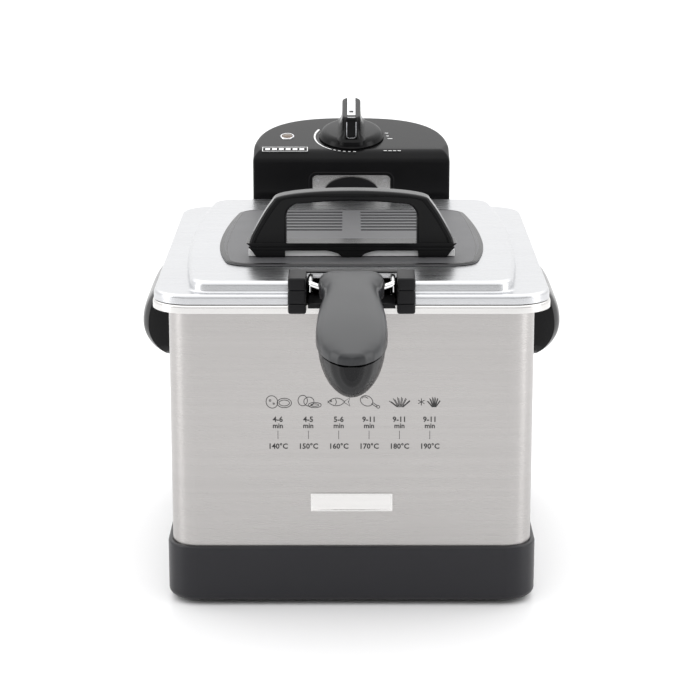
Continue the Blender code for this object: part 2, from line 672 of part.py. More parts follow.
def build_filter():
    """Odour filter below the vent slots: a pad held up by a perforated cover."""
    ceiling = LID_TOP - SHEET - GAP
    box_between("filter_pad", (-0.0520, FILTER_FRONT + 0.0030, 0.2030),
                (0.0520, FILTER_REAR - 0.0030, ceiling), "filter_grey", bevel=0.0010)
    cover = box_between("filter_cover", (-0.0545, FILTER_FRONT, 0.2004), (0.0545, FILTER_REAR, ceiling),
                        "tank_steel")
    pocket = box_between("filter_pocket", (-0.0524, FILTER_FRONT + 0.0026, 0.2027),
                         (0.0524, FILTER_REAR - 0.0026, 0.2200))
    add_boolean(cover, pocket)
    for row in range(3):
        for column in range(4):
            x = -0.0390 + column * 0.0260
            y = (FILTER_FRONT + FILTER_REAR) / 2.0 + (row - 1) * 0.0260
            add_boolean(cover, rod(f"filter_hole_{row}_{column}", (x, y, 0.195), "Z", 0.010, 0.0060,
                                   sides=10))


def arch_outline():
    """Front outline of the lid handle's arch: a low crown on two sloping legs."""
    crown = [(0.0490 * cos(pi * step / 12), 0.2496 + 0.0054 * sin(pi * step / 12)) for step in range(13)]
    leg = [(0.0655, HANDLE_BAR_TOP - 0.0005), (0.0645, 0.2232), (0.0580, 0.2385)]
    return leg + crown + [(-x, z) for x, z in reversed(leg)]


def window_outline():
    """The finger opening under the arch."""
    steps = 5
    corner = [(0.0345 + 0.0077 * cos(pi * step / 2 / steps), 0.2378 + 0.0075 * sin(pi * step / 2 / steps))
              for step in range(steps + 1)]
    half = [(0.0422, HANDLE_BAR_TOP - 0.0010)] + corner + [(0.0170, 0.2467)]
    return half + [(0.0, 0.2472)] + [(-x, z) for x, z in reversed(half)]


def build_lid_handle():
    rear = HANDLE_FRONT + HANDLE_DEPTH
    floor = PLATE_TOP + GAP
    handle = prism("lid_handle", arch_outline(), HANDLE_FRONT + 0.0015, rear, "gloss_black", plane="XZ",
                   bevel=0.0016, segments=2)
    window = prism("handle_window", window_outline(), HANDLE_FRONT - 0.01, rear + 0.01, plane="XZ")
    add_boolean(handle, window)
    end = [(0.0640, HANDLE_BAR_BOTTOM), (0.0655, HANDLE_BAR_BOTTOM + 0.0016),
           (0.0668, HANDLE_BAR_TOP - 0.0002)]
    bar = [(-x, z) for x, z in reversed(end)] + end
    add_boolean(handle, prism("handle_bar", bar, HANDLE_FRONT, rear - 0.0010, plane="XZ"), "UNION")
    feet_rear = HANDLE_FRONT + 0.0034
    for side in (-1.0, 1.0):
        foot = [(side * 0.0645, HANDLE_BAR_BOTTOM + 0.0010), (side * 0.0605, floor), (side * 0.0422, floor),
                (side * 0.0422, HANDLE_BAR_BOTTOM + 0.0010)]
        add_boolean(handle, prism(f"handle_foot_{side:+.0f}", foot, HANDLE_FRONT + 0.0004, feet_rear,
                                  plane="XZ"), "UNION")
    flank = [(0.0190, HANDLE_BAR_BOTTOM + 0.0005), (0.0125, HANDLE_BAR_BOTTOM - 0.0006),
             (0.0083, HANDLE_BAR_BOTTOM - 0.0020), (0.0060, floor)]
    boss = flank + [(-x, z) for x, z in reversed(flank)]
    add_boolean(handle, prism("handle_boss", boss, HANDLE_FRONT + 0.0004, feet_rear, plane="XZ"), "UNION")
    for index, x in enumerate((-HANDLE_SCREW_X, HANDLE_SCREW_X)):
        add_boolean(handle, rod(f"handle_screw_hole_{index}", (x, HANDLE_SCREW_Y, 0.2000), "Z", 0.0270,
                                0.0019, sides=12))


def build_handle_strip():
    """Polished plate that spreads the handle's load, seen under its bar."""
    strip = box_between("handle_strip", (-0.0655, HANDLE_FRONT + 0.0038, PLATE_TOP + GAP),
                        (0.0655, HANDLE_FRONT + HANDLE_DEPTH - 0.0012, HANDLE_BAR_BOTTOM - GAP),
                        "polished_steel", bevel=0.0003, segments=1)
    for index, x in enumerate((-HANDLE_SCREW_X, HANDLE_SCREW_X)):
        add_boolean(strip, rod(f"strip_screw_way_{index}", (x, HANDLE_SCREW_Y, 0.2000), "Z", 0.0270, 0.0022,
                               sides=12))


def build_lid_screws():
    tip = 0.2255
    tips = [(x, HANDLE_SCREW_Y, tip) for x in (-HANDLE_SCREW_X, HANDLE_SCREW_X)]
    build_screws("lid_handle_screw", tips, (0.0, 0.0, 1.0), tip - (LID_TOP - SHEET - GAP))


def build_notch_trim():
    """The moulded guard round the lid's front notch."""
    trim = box_between("notch_trim", (-TRIM_HALF_WIDTH, TRIM_FRONT, TRIM_BOTTOM),
                       (TRIM_HALF_WIDTH, TRIM_REAR, TRIM_TOP), "satin_black", bevel=0.0015)
    add_boolean(trim, box_between("trim_rim_way", (-0.05, RIM_FRONT - GAP, 0.18),
                                  (0.05, 0.03, LID_BOTTOM)))
    add_boolean(trim, box_between("trim_wire_way", (-NOTCH_HALF_WIDTH, -0.03, 0.18),
                                  (NOTCH_HALF_WIDTH, 0.03, 0.2134)))
    add_boolean(trim, box_between("trim_mouth", (-NOTCH_HALF_WIDTH, -0.03, 0.18),
                                  (NOTCH_HALF_WIDTH, 0.0040, 0.23)))


# ---- control head ----------------------------------------------------------------------------
def head_outline(inset, steps=32):
    """Plan of the head: a straight front and one rounded sweep round the sides and back."""
    half_width = HEAD_HALF_WIDTH - inset
    depth = HEAD_DEPTH - 2.0 * inset
    points = []
    for step in range(steps + 1):
        angle = pi * step / steps
        across, along = cos(angle), max(sin(angle), 0.0)
        x = half_width * (abs(across) ** (2.0 / HEAD_POWER)) * (1.0 if across >= 0.0 else -1.0)
        points.append((x, HEAD_FRONT + inset + depth * along ** (2.0 / HEAD_POWER)))
    return points


def head_ring(inset, z):
    return [(x, y, z) for x, y in head_outline(inset)]


def head_top_ring(inset, drop):
    """A ring that follows the sloped panel, dropped below it."""
    return [(x, y, HEAD_FRONT_TOP + (y - HEAD_FRONT) * tan(HEAD_SLOPE) - drop)
            for x, y in head_outline(inset)]


def panel_height(y):
    return HEAD_FRONT_TOP + (y - HEAD_FRONT) * tan(HEAD_SLOPE)


def build_head_casing(panel_frame):
    rings = [head_top_ring(HEAD_ROUND * (1.0 - sin(angle)), HEAD_ROUND * (1.0 - cos(angle)))
             for angle in (0.0, 0.39, 0.785, 1.18, pi / 2.0)]
    rings += [head_ring(0.0, HEAD_SEAM + 0.0002), head_ring(WALL, HEAD_SEAM + 0.0002),
              head_top_ring(WALL, HEAD_ROUND + 0.0010), head_top_ring(HEAD_ROUND, WALL)]
    casing = loft("head_casing", rings, "gloss_black")
    recess = box_between("head_recess", (-RECESS_HALF_WIDTH, HEAD_FRONT - 0.01, 0.18),
                         (RECESS_HALF_WIDTH, HEAD_FRONT + 0.0100, RECESS_TOP))
    add_boolean(casing, recess)
    shaft_way = rod("shaft_way", (0.0, 0.0, -0.012), "Z", 0.024, 0.0040, parent=panel_frame)
    add_boolean(casing, shaft_way)
    lamp_way = rod("lamp_way", (*LAMP_PLACE, -0.010), "Z", 0.020, 0.0041, parent=panel_frame)
    add_boolean(casing, lamp_way)


def build_head_lower():
    rings = [head_ring(0.0020, HEAD_BOTTOM), head_ring(0.0006, HEAD_BOTTOM + 0.0007),
             head_ring(0.0, HEAD_BOTTOM + 0.0022), head_ring(0.0, HEAD_SEAM - 0.0002),
             head_ring(WALL, HEAD_SEAM - 0.0002), head_ring(WALL, HEAD_BOTTOM + WALL)]
    lower = loft("head_lower_cover", rings, "satin_black")
    add_boolean(lower, box_between("bracket_way", (-0.0306, HEAD_FRONT - 0.01, 0.1952),
                                   (0.0306, HEAD_FRONT + 0.0100, 0.21)))
    add_boolean(lower, rod("gland_way", (0.0, REAR_MOST - 0.0180, GLAND_Z), "Y", 0.020, 0.0062))
    add_boolean(lower, rod("reset_way", (0.0, REAR_MOST - 0.0180, RESET_Z), "Y", 0.020, 0.0044))
    add_boolean(lower, rod("pin_way", (*PIN_PLACE, HEAD_BOTTOM - 0.005), "Z", 0.012, 0.0036, sides=12))
    for index, z in enumerate(TONGUE_SCREW_HEIGHTS):
        add_boolean(lower, rod(f"tongue_way_{index}", (0.0, HEAD_FRONT - 0.005, z), "Y", 0.012, 0.0022,
                               sides=12))


def build_guide_tongue():
    """The tee-shaped slide on the head's front that hangs in the guide bracket."""
    wide = 0.0500
    neck = 0.0455
    front = TONGUE_FRONT
    step = HEAD_FRONT - 0.0031
    rear = HEAD_FRONT - GAP
    outline = [(-wide, front), (wide, front), (wide, step), (neck, step), (neck, rear), (-neck, rear),
               (-neck, step), (-wide, step)]
    tongue = prism("guide_tongue", outline, GUIDE_FLOOR + 0.0043, 0.1840, "satin_black")
    for index, z in enumerate(TONGUE_SCREW_HEIGHTS):
        add_boolean(tongue, rod(f"tongue_hole_{index}", (0.0, rear - 0.0045, z), "Y", 0.0065, 0.0019,
                                sides=12))


def build_tongue_screws():
    inside = HEAD_FRONT + WALL + GAP
    length = 0.0065
    tips = [(0.0, inside - length, z) for z in TONGUE_SCREW_HEIGHTS]
    build_screws("tongue_screw", tips, (0.0, -1.0, 0.0), length)


def build_element_bracket():
    """Folded steel strip from inside the tank, over its rim and up into the head's recess."""
    sheet = 0.0012
    low = 0.1962
    outline = [(BRACKET_STRIP, 0.1150), (BRACKET_STRIP, low + sheet), (BRACKET_REAR - sheet, low + sheet),
               (BRACKET_REAR - sheet, 0.2275), (BRACKET_REAR, 0.2275), (BRACKET_REAR, low),
               (BRACKET_STRIP + sheet, low), (BRACKET_STRIP + sheet, 0.1150)]
    bracket = prism("element_bracket", outline, -0.0285, 0.0285, "tank_steel", plane="YZ")
    for index, x in enumerate((-0.0180, 0.0180)):
        hole = rod(f"element_way_{index}", (x, HEAD_FRONT - 0.0020, LEG_TOP + 0.0004), "Y", 0.012,
                   ELEMENT_RADIUS + 0.0003)
        add_boolean(bracket, hole)
    for index, x in enumerate((-0.0060, 0.0060)):
        add_boolean(bracket, rod(f"capillary_way_{index}", (x, HEAD_FRONT - 0.0020, LEG_TOP), "Y", 0.012,
                                 0.0016, sides=12))


def build_heating_element():
    """One tube: up the rear wall, round the tank's floor in a double loop and back."""
    z = ELEMENT_HEIGHT
    wide = 0.0740
    inner = 0.0180
    head_end = HEAD_FRONT + 0.0160
    leg_top = LEG_TOP + 0.0004
    corners = [
        (-inner, head_end, leg_top), (-inner, LEG_Y, leg_top), (-inner, LEG_Y, z),
        (-inner, 0.0900, z), (-0.0460, 0.0900, z), (-0.0460, 0.2200, z), (-wide, 0.2200, z),
        (-wide, 0.0500, z), (wide, 0.0500, z), (wide, 0.2200, z), (0.0460, 0.2200, z),
        (0.0460, 0.0900, z), (inner, 0.0900, z), (inner, LEG_Y, z), (inner, LEG_Y, leg_top),
        (inner, head_end, leg_top),
    ]
    wire("heating_element", filleted_path(corners, 0.0095, 4), ELEMENT_RADIUS, "element_sheath")


def build_bulb(name, side, finish):
    """A sensing bulb over the element with its thin capillary up to the head."""
    x = side * 0.0060
    top = LEG_TOP
    bulb_z = 0.0815
    corners = [(x, HEAD_FRONT + 0.0130, top), (x, LEG_Y + 0.0020, top), (x, LEG_Y + 0.0020, bulb_z),
               (x, 0.2230, bulb_z)]
    path = filleted_path(corners, 0.0060, 3)
    thin = [0.35] * len(path)
    tail = [Vector((x, y, bulb_z)) for y in (0.2190, 0.2170, 0.1390, 0.1370)]
    wire(name, path + tail, 0.0030, finish, radii=thin + [0.45, 1.0, 1.0, 0.45])


def build_head_internals(panel_frame):
    body = box_between("thermostat_body", (-0.0170, -0.0150, -0.0300), (0.0170, 0.0150, -0.0124),
                       "bakelite", panel_frame, bevel=0.0012)
    bush = rod("thermostat_bush", (0.0, 0.0, -0.0140), "Z", 0.0111, 0.0058, parent=panel_frame, sides=20)
    add_boolean(body, bush, "UNION")
    add_boolean(body, rod("thermostat_bore", (0.0, 0.0, -0.0180), "Z", 0.020, 0.0034, parent=panel_frame))
    rear = HEAD_FRONT + HEAD_DEPTH
    box_between("thermal_cutout", (-0.0120, rear - 0.0325, RESET_Z - 0.0110),
                (0.0120, rear - 0.0135, RESET_Z + 0.0110), "bakelite", bevel=0.0012)
    box_between("terminal_block", (-0.0520, HEAD_FRONT + WALL + GAP, 0.1450),
                (-0.0240, HEAD_FRONT + 0.0210, 0.1590), "bakelite", bevel=0.0010)
    box_between("interlock_switch", (0.0240, HEAD_FRONT + 0.0070, HEAD_BOTTOM + WALL + GAP),
                (0.0440, HEAD_FRONT + 0.0210, 0.1190), "bakelite", bevel=0.0010)


def build_cord_gland():
    """Ribbed collar that the mains cord enters through."""
    profile = [(0.0, 0.0), (0.0042, 0.0), (0.0052, -0.0010), (0.0058, -0.0040), (0.0090, -0.0046),
               (0.0090, -0.0074), (0.0058, -0.0074), (0.0058, -0.0165), (0.0, -0.0165)]
    gland = turned("cord_gland", profile, "rubber_black", (0.0, REAR_MOST, GLAND_Z), (-pi / 2.0, 0.0, 0.0))
    add_boolean(gland, rod("cord_way", (0.0, REAR_MOST - 0.030, GLAND_Z), "Y", 0.040, 0.0034))


def build_indicator_lamp(panel_frame):
    profile = [(0.0, 0.0016), (0.0030, 0.0013), (0.0050, 0.0004 + GAP), (0.0050, GAP), (0.0038, GAP),
               (0.0038, -0.0060), (0.0, -0.0060)]
    turned("indicator_lens", profile, "lamp_amber", (*LAMP_PLACE, 0.0), parent=panel_frame, steps=20)


def build_reset_button():
    profile = [(0.0, 0.0), (0.0032, 0.0), (0.0040, -0.0010), (0.0040, -0.0062), (0.0056, -0.0062),
               (0.0056, -0.0078), (0.0020, -0.0078), (0.0020, -0.0140), (0.0, -0.0140)]
    turned("reset_button", profile, "button_red", (0.0, HEAD_FRONT + HEAD_DEPTH + 0.0030, RESET_Z),
           (-pi / 2.0, 0.0, 0.0))


def build_knob(knob_axis):
    skirt = [(0.0, KNOB_SKIRT), (0.0210, KNOB_SKIRT), (0.0229, 0.0054), (KNOB_RADIUS, 0.0036),
             (KNOB_RADIUS, 0.0008), (0.0, 0.0008)]
    knob = turned("thermostat_knob", skirt, "gloss_black", parent=knob_axis, steps=40)
    fin = loft("knob_fin", [
        rounded_ring(FIN_HALF_WIDTH + 0.0006, -FIN_HALF_LENGTH - 0.0010, FIN_HALF_LENGTH + 0.0010,
                     0.0052, 0.0030, corner_steps=4),
        rounded_ring(FIN_HALF_WIDTH, -FIN_HALF_LENGTH, FIN_HALF_LENGTH, 0.0050, KNOB_HEIGHT - 0.0012,
                     corner_steps=4),
        rounded_ring(FIN_HALF_WIDTH - 0.0010, -FIN_HALF_LENGTH + 0.0010, FIN_HALF_LENGTH - 0.0010,
                     0.0042, KNOB_HEIGHT, corner_steps=4),
    ], parent=knob_axis)
    add_boolean(knob, fin, "UNION")
    add_boolean(knob, rod("knob_bore", (0.0, 0.0, -0.005), "Z", 0.0175, 0.0033, parent=knob_axis))
    add_boolean(knob, box_between("inlay_groove", (-0.0032, -0.0185, KNOB_HEIGHT - 0.0008),
                                  (0.0032, 0.0185, KNOB_HEIGHT + 0.01), parent=knob_axis))
    box_between("knob_inlay", (-0.0029, -0.0182, KNOB_HEIGHT - 0.0005),
                (0.0029, 0.0182, KNOB_HEIGHT + 0.0002), "silver_inlay", knob_axis)
    rod("thermostat_shaft", (0.0, 0.0, -0.0170), "Z", 0.0290, 0.0030, "tank_steel", knob_axis)


# ---- basket ----------------------------------------------------------------------------------
def build_basket():
    thickness = 0.0012

    def ring(inset, z, corner):
        return rounded_ring(BASKET_HALF_WIDTH - inset, BASKET_FRONT + inset, BASKET_REAR - inset, corner, z)

    rings = [
        ring(0.0120 + thickness, BASKET_BOTTOM + thickness, 0.0140),
        ring(0.0050 + thickness, BASKET_BOTTOM + thickness + 0.0020, 0.0190),
        ring(0.0030 + thickness, BASKET_BOTTOM + thickness + 0.0100, 0.0210),
        ring(thickness, BASKET_TOP, BASKET_CORNER - thickness),
        ring(0.0, BASKET_TOP, BASKET_CORNER),
        ring(0.0030, BASKET_BOTTOM + 0.0100, 0.0220),
        ring(0.0050, BASKET_BOTTOM + 0.0020, 0.0200),
        ring(0.0120, BASKET_BOTTOM, 0.0150),
    ]
    loft("basket_mesh", rings, "polished_steel")
    rim_path = rounded_ring(BASKET_HALF_WIDTH + 0.0006, BASKET_FRONT - 0.0006, BASKET_REAR + 0.0006,
                            BASKET_CORNER, BASKET_TOP + 0.0026)
    wire("basket_rim_wire", [Vector(point) for point in rim_path], 0.0022, "polished_steel", cyclic=True)
    box_between("basket_hanger_plate", (-0.0310, 0.0232, 0.1400), (0.0310, 0.0246, 0.1760), "polished_steel",
                bevel=0.0004, segments=1)


def build_arm(name, side):
    """A wire from the hanger plate, over the tank's rim and into the end of the grip's barrel."""
    x = side * ARM_X
    corners = [(x, ARM_Y, 0.1420), (x, ARM_Y, 0.1990), (x, 0.0070, 0.2102), (x, HINGE_Y + 0.0040, 0.2102),
               (x, HINGE_Y, HINGE_Z), (side * 0.0140, HINGE_Y, HINGE_Z)]
    wire(name, filleted_path(corners, 0.0026, 3), ARM_RADIUS, "polished_steel")


def grip_top(y):
    """Height of the grip's upper surface along its middle."""
    reach = HINGE_Y - y
    if reach < 0.0:
        return HINGE_Z + (NECK_RISE ** 2 - reach ** 2) ** 0.5
    return HINGE_Z + NECK_RISE - GRIP_FALL * reach - GRIP_CURVE * reach * reach


def grip_seam(y):
    """Height of the parting line between the grip's two shells."""
    return GRIP_SEAM_TOP - GRIP_SEAM_FALL * (HINGE_Y - y)


GRIP_WIDTHS = [(-0.0080, 0.0180), (-0.0115, 0.0190), (-0.0150, 0.0193), (-0.0190, 0.0186),
               (-0.0240, 0.0170), (-0.0300, 0.0163), (-0.0400, 0.0173), (-0.0540, 0.0193), (-0.0700, 0.0205), (-0.0850, 0.0207), (-0.0970, 0.0196),
               (-0.1070, 0.0170), (-0.1150, 0.0128), (-0.1200, 0.0078), (GRIP_TIP, 0.0036)]
GRIP_BELLY = {-0.0300: 0.0074, -0.0400: 0.0122, -0.0540: 0.0170, -0.0700: 0.0215,
              -0.0850: 0.0243, -0.0970: 0.0246, -0.1070: 0.0216, -0.1150: 0.0163, -0.1200: 0.0100,
              GRIP_TIP: 0.0040}


def half_section(half_width, seam, height, power, y, steps=12):
    """Half a rounded section from one side of the seam over to the other."""
    points = []
    for step in range(steps + 1):
        angle = pi * step / steps
        across, rise = cos(angle), max(sin(angle), 0.0)
        x = half_width * abs(across) ** (2.0 / power) * (1.0 if across >= 0.0 else -1.0)
        points.append((x, y, seam + height * rise ** (2.0 / power)))
    return points


def open_shell(name, sections, finish, thickness, parent=ORIGIN):
    """A bowl-shaped skin through open sections, closed at both ends, with a wall inside it."""
    bm = bmesh.new()
    loops = [[bm.verts.new(point) for point in section] for section in sections]
    for first, second in zip(loops, loops[1:]):
        for index in range(len(first) - 1):
            bm.faces.new((first[index], first[index + 1], second[index + 1], second[index]))
    bm.faces.new(loops[0])
    bm.faces.new(loops[-1])
    bmesh.ops.recalc_face_normals(bm, faces=bm.faces)
    middle = sum((vert.co for vert in bm.verts), Vector()) / len(bm.verts)
    face = max(bm.faces, key=lambda item: item.calc_area())
    if face.normal.dot(face.calc_center_median() - middle) < 0.0:
        bmesh.ops.reverse_faces(bm, faces=bm.faces)
    mesh = bpy.data.meshes.new(name)
    bm.to_mesh(mesh)
    bm.free()
    mesh.shade_smooth()
    mesh.set_sharp_from_angle(angle=radians(40.0))
    obj = link_object(name, mesh, finish, (0.0, 0.0, 0.0), parent)
    solidify = obj.modifiers.new("wall", "SOLIDIFY")
    solidify.thickness = thickness
    solidify.offset = -1.0
    solidify.use_even_offset = False
    return obj


def build_grip():
    grip_frame = add_empty("grip_hinge", (0.0, HINGE_Y, HINGE_Z))
    place = Matrix.Translation((0.0, -HINGE_Y, -HINGE_Z))
    upper_sections = []
    for y, half_width in GRIP_WIDTHS:
        seam = grip_seam(y)
        rise = (grip_top(y) - seam) * (1.0 if y > -0.118 else 0.80)
        upper_sections.append(half_section(half_width, seam, rise, 3.4, y))
    moved = [[tuple(place @ Vector(point)) for point in section] for section in upper_sections]
    upper = open_shell("grip_upper", moved, "soft_grip", GRIP_WALL, grip_frame)
    barrel = rod("grip_barrel", (-BARREL_HALF_LENGTH, 0.0, 0.0), "X", 2.0 * BARREL_HALF_LENGTH,
                 BARREL_RADIUS, parent=grip_frame, sides=28)
    add_boolean(upper, barrel, "UNION")
    for side in (-1.0, 1.0):
        start = 0.0130 if side > 0 else -0.0280
        hole = rod(f"grip_pin_hole_{side:+.0f}", (start, 0.0, 0.0), "X", 0.0150, ARM_RADIUS + 0.0004,
                   parent=grip_frame, sides=14)
        add_boolean(upper, hole)
    lower_sections = []
    for y, half_width in GRIP_WIDTHS:
        if y in GRIP_BELLY:
            seam = grip_seam(y) - 0.0010
            station = max(y, GRIP_TIP + 0.0012)
            lower_sections.append(half_section(half_width - 0.0008, seam, -GRIP_BELLY[y], 1.9, station))
    moved = [[tuple(place @ Vector(point)) for point in section] for section in lower_sections]
    open_shell("grip_lower", moved, "gloss_black", GRIP_WALL, grip_frame)


# ---- assembly --------------------------------------------------------------------------------
def main():
    panel_frame = add_empty("panel_frame", (0.0, KNOB_Y, panel_height(KNOB_Y)), HEAD_SLOPE)
    knob_axis = add_empty("knob_axis", (0.0, 0.0, 0.0), parent=panel_frame)

    build_base_tray()
    build_feet()
    build_housing_shell()
    build_side_handle("side_handle_left", -1.0)
    build_side_handle("side_handle_right", 1.0)
    build_housing_screws()
    build_guide_bracket()
    build_interlock_pin()

    build_oil_tank()
    build_rim_guard()

    build_lid_panel()
    build_vent_plate()
    build_filter()
    build_lid_handle()
    build_handle_strip()
    build_lid_screws()
    build_notch_trim()

    build_head_casing(panel_frame)
    build_head_lower()
    build_guide_tongue()
    build_tongue_screws()
    build_element_bracket()
    build_heating_element()
    build_bulb("thermostat_bulb", -1.0, "copper")
    build_bulb("limiter_bulb", 1.0, "copper")
    build_head_internals(panel_frame)
    build_cord_gland()
    build_indicator_lamp(panel_frame)
    build_reset_button()
    build_knob(knob_axis)

    build_basket()
    build_arm("basket_arm_left", -1.0)
    build_arm("basket_arm_right", 1.0)
    build_grip()


main()
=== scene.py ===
"""Deep fryer, dressed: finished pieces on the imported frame, in a pale studio.

Every size is in metres, +Z is up and the front of the fryer looks along -Y. Pieces are laid out
with Y = 0 on the front face of the steel housing and moved to the frame's place when they are cast.
"""
import logging
from dataclasses import dataclass, field
from enum import Enum
from math import cos, degrees, pi, radians, sin, tan
from typing import Any, Callable, Iterable, Sequence, Union

import bmesh
import bpy
from bmesh.types import BMEdge, BMFace, BMVert
from mathutils import Matrix, Quaternion, Vector


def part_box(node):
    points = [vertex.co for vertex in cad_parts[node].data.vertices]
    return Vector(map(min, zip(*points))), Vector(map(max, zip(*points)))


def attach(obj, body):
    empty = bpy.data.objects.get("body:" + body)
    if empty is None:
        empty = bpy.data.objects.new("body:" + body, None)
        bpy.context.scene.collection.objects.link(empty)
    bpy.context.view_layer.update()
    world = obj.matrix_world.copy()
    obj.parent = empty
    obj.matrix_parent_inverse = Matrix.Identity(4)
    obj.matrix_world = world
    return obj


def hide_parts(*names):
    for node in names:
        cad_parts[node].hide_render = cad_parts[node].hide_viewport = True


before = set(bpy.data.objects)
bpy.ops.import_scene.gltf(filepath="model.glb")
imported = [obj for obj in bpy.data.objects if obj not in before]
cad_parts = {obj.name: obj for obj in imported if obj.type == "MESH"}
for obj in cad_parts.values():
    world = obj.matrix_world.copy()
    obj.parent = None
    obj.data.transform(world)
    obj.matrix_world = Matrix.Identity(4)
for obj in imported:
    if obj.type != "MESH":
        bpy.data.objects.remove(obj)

LOG = logging.getLogger("deep_fryer")
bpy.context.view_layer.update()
FRONT_PLANE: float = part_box("housing_shell")[0][1]

Flat = tuple[float, float]
Station = tuple[float, float]


class Axis(Enum):
    """A main direction of the fryer."""

    X = (1.0, 0.0, 0.0)
    Y = (0.0, 1.0, 0.0)
    Z = (0.0, 0.0, 1.0)

    def upright_to(self) -> Matrix:
        """Return the turn that takes +Z to this direction."""
        return Vector((0.0, 0.0, 1.0)).rotation_difference(Vector(self.value)).to_matrix().to_4x4()


# ---- shader arithmetic and finishes ----------------------------------------------------------
class Wire:
    """A shader socket that takes part in Python arithmetic."""

    def __init__(self, brush: "Board", socket: bpy.types.NodeSocket) -> None:
        """Wrap a socket of the board's tree."""
        self.brush = brush
        self.socket = socket

    def __add__(self, other: "Number") -> "Wire":
        """Return self + other."""
        return self.brush.maths("ADD", self, other)

    __radd__ = __add__

    def __sub__(self, other: "Number") -> "Wire":
        """Return self - other."""
        return self.brush.maths("SUBTRACT", self, other)

    def __rsub__(self, other: "Number") -> "Wire":
        """Return other - self."""
        return self.brush.maths("SUBTRACT", other, self)

    def __mul__(self, other: "Number") -> "Wire":
        """Return self * other."""
        return self.brush.maths("MULTIPLY", self, other)

    __rmul__ = __mul__

    def __pow__(self, other: "Number") -> "Wire":
        """Return self to the power of other."""
        return self.brush.maths("POWER", self, other)


Number = Union[float, Wire]
Colour = tuple[float, float, float]


class Board:
    """Lays nodes on a tree."""

    def __init__(self, tree: bpy.types.NodeTree) -> None:
        """Work on a tree."""
        self.tree = tree

    def node(self, kind: str, settings: dict[str, Any] | None = None,
             inputs: dict[Any, Any] | None = None) -> bpy.types.Node:
        """Add a node.

        Args:
            kind: the node's type name.
            settings: its attributes, and "stops" for a colour ramp, set before its inputs.
            inputs: values or wires by socket name or number.

        Returns:
            The new node.
        """
        made = self.tree.nodes.new(kind)
        for key, value in (settings or {}).items():
            if key == "stops":
                self._set_stops(made, value)
            else:
                setattr(made, key, value)
        for key, value in (inputs or {}).items():
            self.feed(made.inputs[key], value)
        return made

    @staticmethod
    def _set_stops(ramp: bpy.types.Node, stops: Sequence[tuple[float, float]]) -> None:
        """Set a ramp's grey stops, each a position and a level."""
        elements = ramp.color_ramp.elements
        while len(elements) < len(stops):
            elements.new(0.5)
        for element, (position, level) in zip(elements, stops):
            element.position = position
            element.color = (level, level, level, 1.0)

    def feed(self, socket: bpy.types.NodeSocket, value: Any) -> None:
        """Link a wire to a socket, or set the socket's own value."""
        if isinstance(value, Wire):
            self.tree.links.new(value.socket, socket)
        elif isinstance(value, tuple) and len(value) == 3 and socket.type == "RGBA":
            socket.default_value = (*value, 1.0)
        else:
            socket.default_value = value

    def maths(self, operation: str, first: Number, second: Number) -> Wire:
        """Return the wire of a Math node's result."""
        made = self.node("ShaderNodeMath", {"operation": operation}, {0: first, 1: second})
        return Wire(self, made.outputs[0])


class Brush(Board):
    """Builds one material's nodes."""

    def __init__(self, name: str) -> None:
        """Start a material with a Principled shader."""
        self.material = bpy.data.materials.new(name)
        self.material.use_nodes = True
        super().__init__(self.material.node_tree)
        self.shader = self.tree.nodes["Principled BSDF"]

    def place(self) -> Wire:
        """Return the Object coordinates."""
        return Wire(self, self.node("ShaderNodeTexCoord").outputs["Object"])

    def noise(self, scale: float, detail: float = 3.0, stretch: Colour = (1.0, 1.0, 1.0),
              roughness: float = 0.55) -> Wire:
        """Return a noise's value over the piece.

        Args:
            scale: features to the metre.
            detail: octaves.
            stretch: how much faster it changes along each axis.
            roughness: weight of the finer octaves.

        Returns:
            A wire from 0 to 1.
        """
        placed = self.node("ShaderNodeMapping", {}, {"Vector": self.place(), "Scale": stretch})
        made = self.node("ShaderNodeTexNoise", {}, {
            "Vector": Wire(self, placed.outputs["Vector"]), "Scale": scale, "Detail": detail,
            "Roughness": roughness})
        return Wire(self, made.outputs["Fac"])

    def ramp(self, value: Wire, stops: Sequence[tuple[float, float]]) -> Wire:
        """Return the value remapped through grey stops."""
        made = self.node("ShaderNodeValToRGB", {"stops": stops}, {"Fac": value})
        return Wire(self, made.outputs["Color"])

    def blend(self, share: Wire, first: Any, second: Any) -> Wire:
        """Return the first colour where share is 0 and the second where it is 1."""
        made = self.node("ShaderNodeMix", {"data_type": "RGBA"}, {0: share, 6: first, 7: second})
        return Wire(self, made.outputs[2])

    def relief(self, height: Wire, strength: float, depth: float) -> Wire:
        """Return a normal raised by height."""
        made = self.node("ShaderNodeBump", {}, {"Height": height, "Strength": strength,
                                                "Distance": depth})
        return Wire(self, made.outputs["Normal"])

    def set(self, **sockets: Any) -> None:
        """Set the shader's sockets; an underscore in a name stands for a space."""
        for key, value in sockets.items():
            self.feed(self.shader.inputs[key.replace("_", " ")], value)


@dataclass(frozen=True)
class Finish:
    """What a piece is made of and how its surface is worked."""

    name: str
    slot: str
    colour: Colour
    roughness: float = 0.4

    def material(self) -> bpy.types.Material:
        """Return the material, painted the first time it is asked for."""
        known = bpy.data.materials.get(self.name)
        if known is None:
            brush = Brush(self.name)
            self.paint(brush)
            known = brush.material
        return known

    def paint(self, brush: Brush) -> None:
        """Paint the surface with the brush."""
        raise NotImplementedError

    def shade(self, factor: float) -> Colour:
        """Return the colour made lighter or darker by a factor."""
        return (self.colour[0] * factor, self.colour[1] * factor, self.colour[2] * factor)


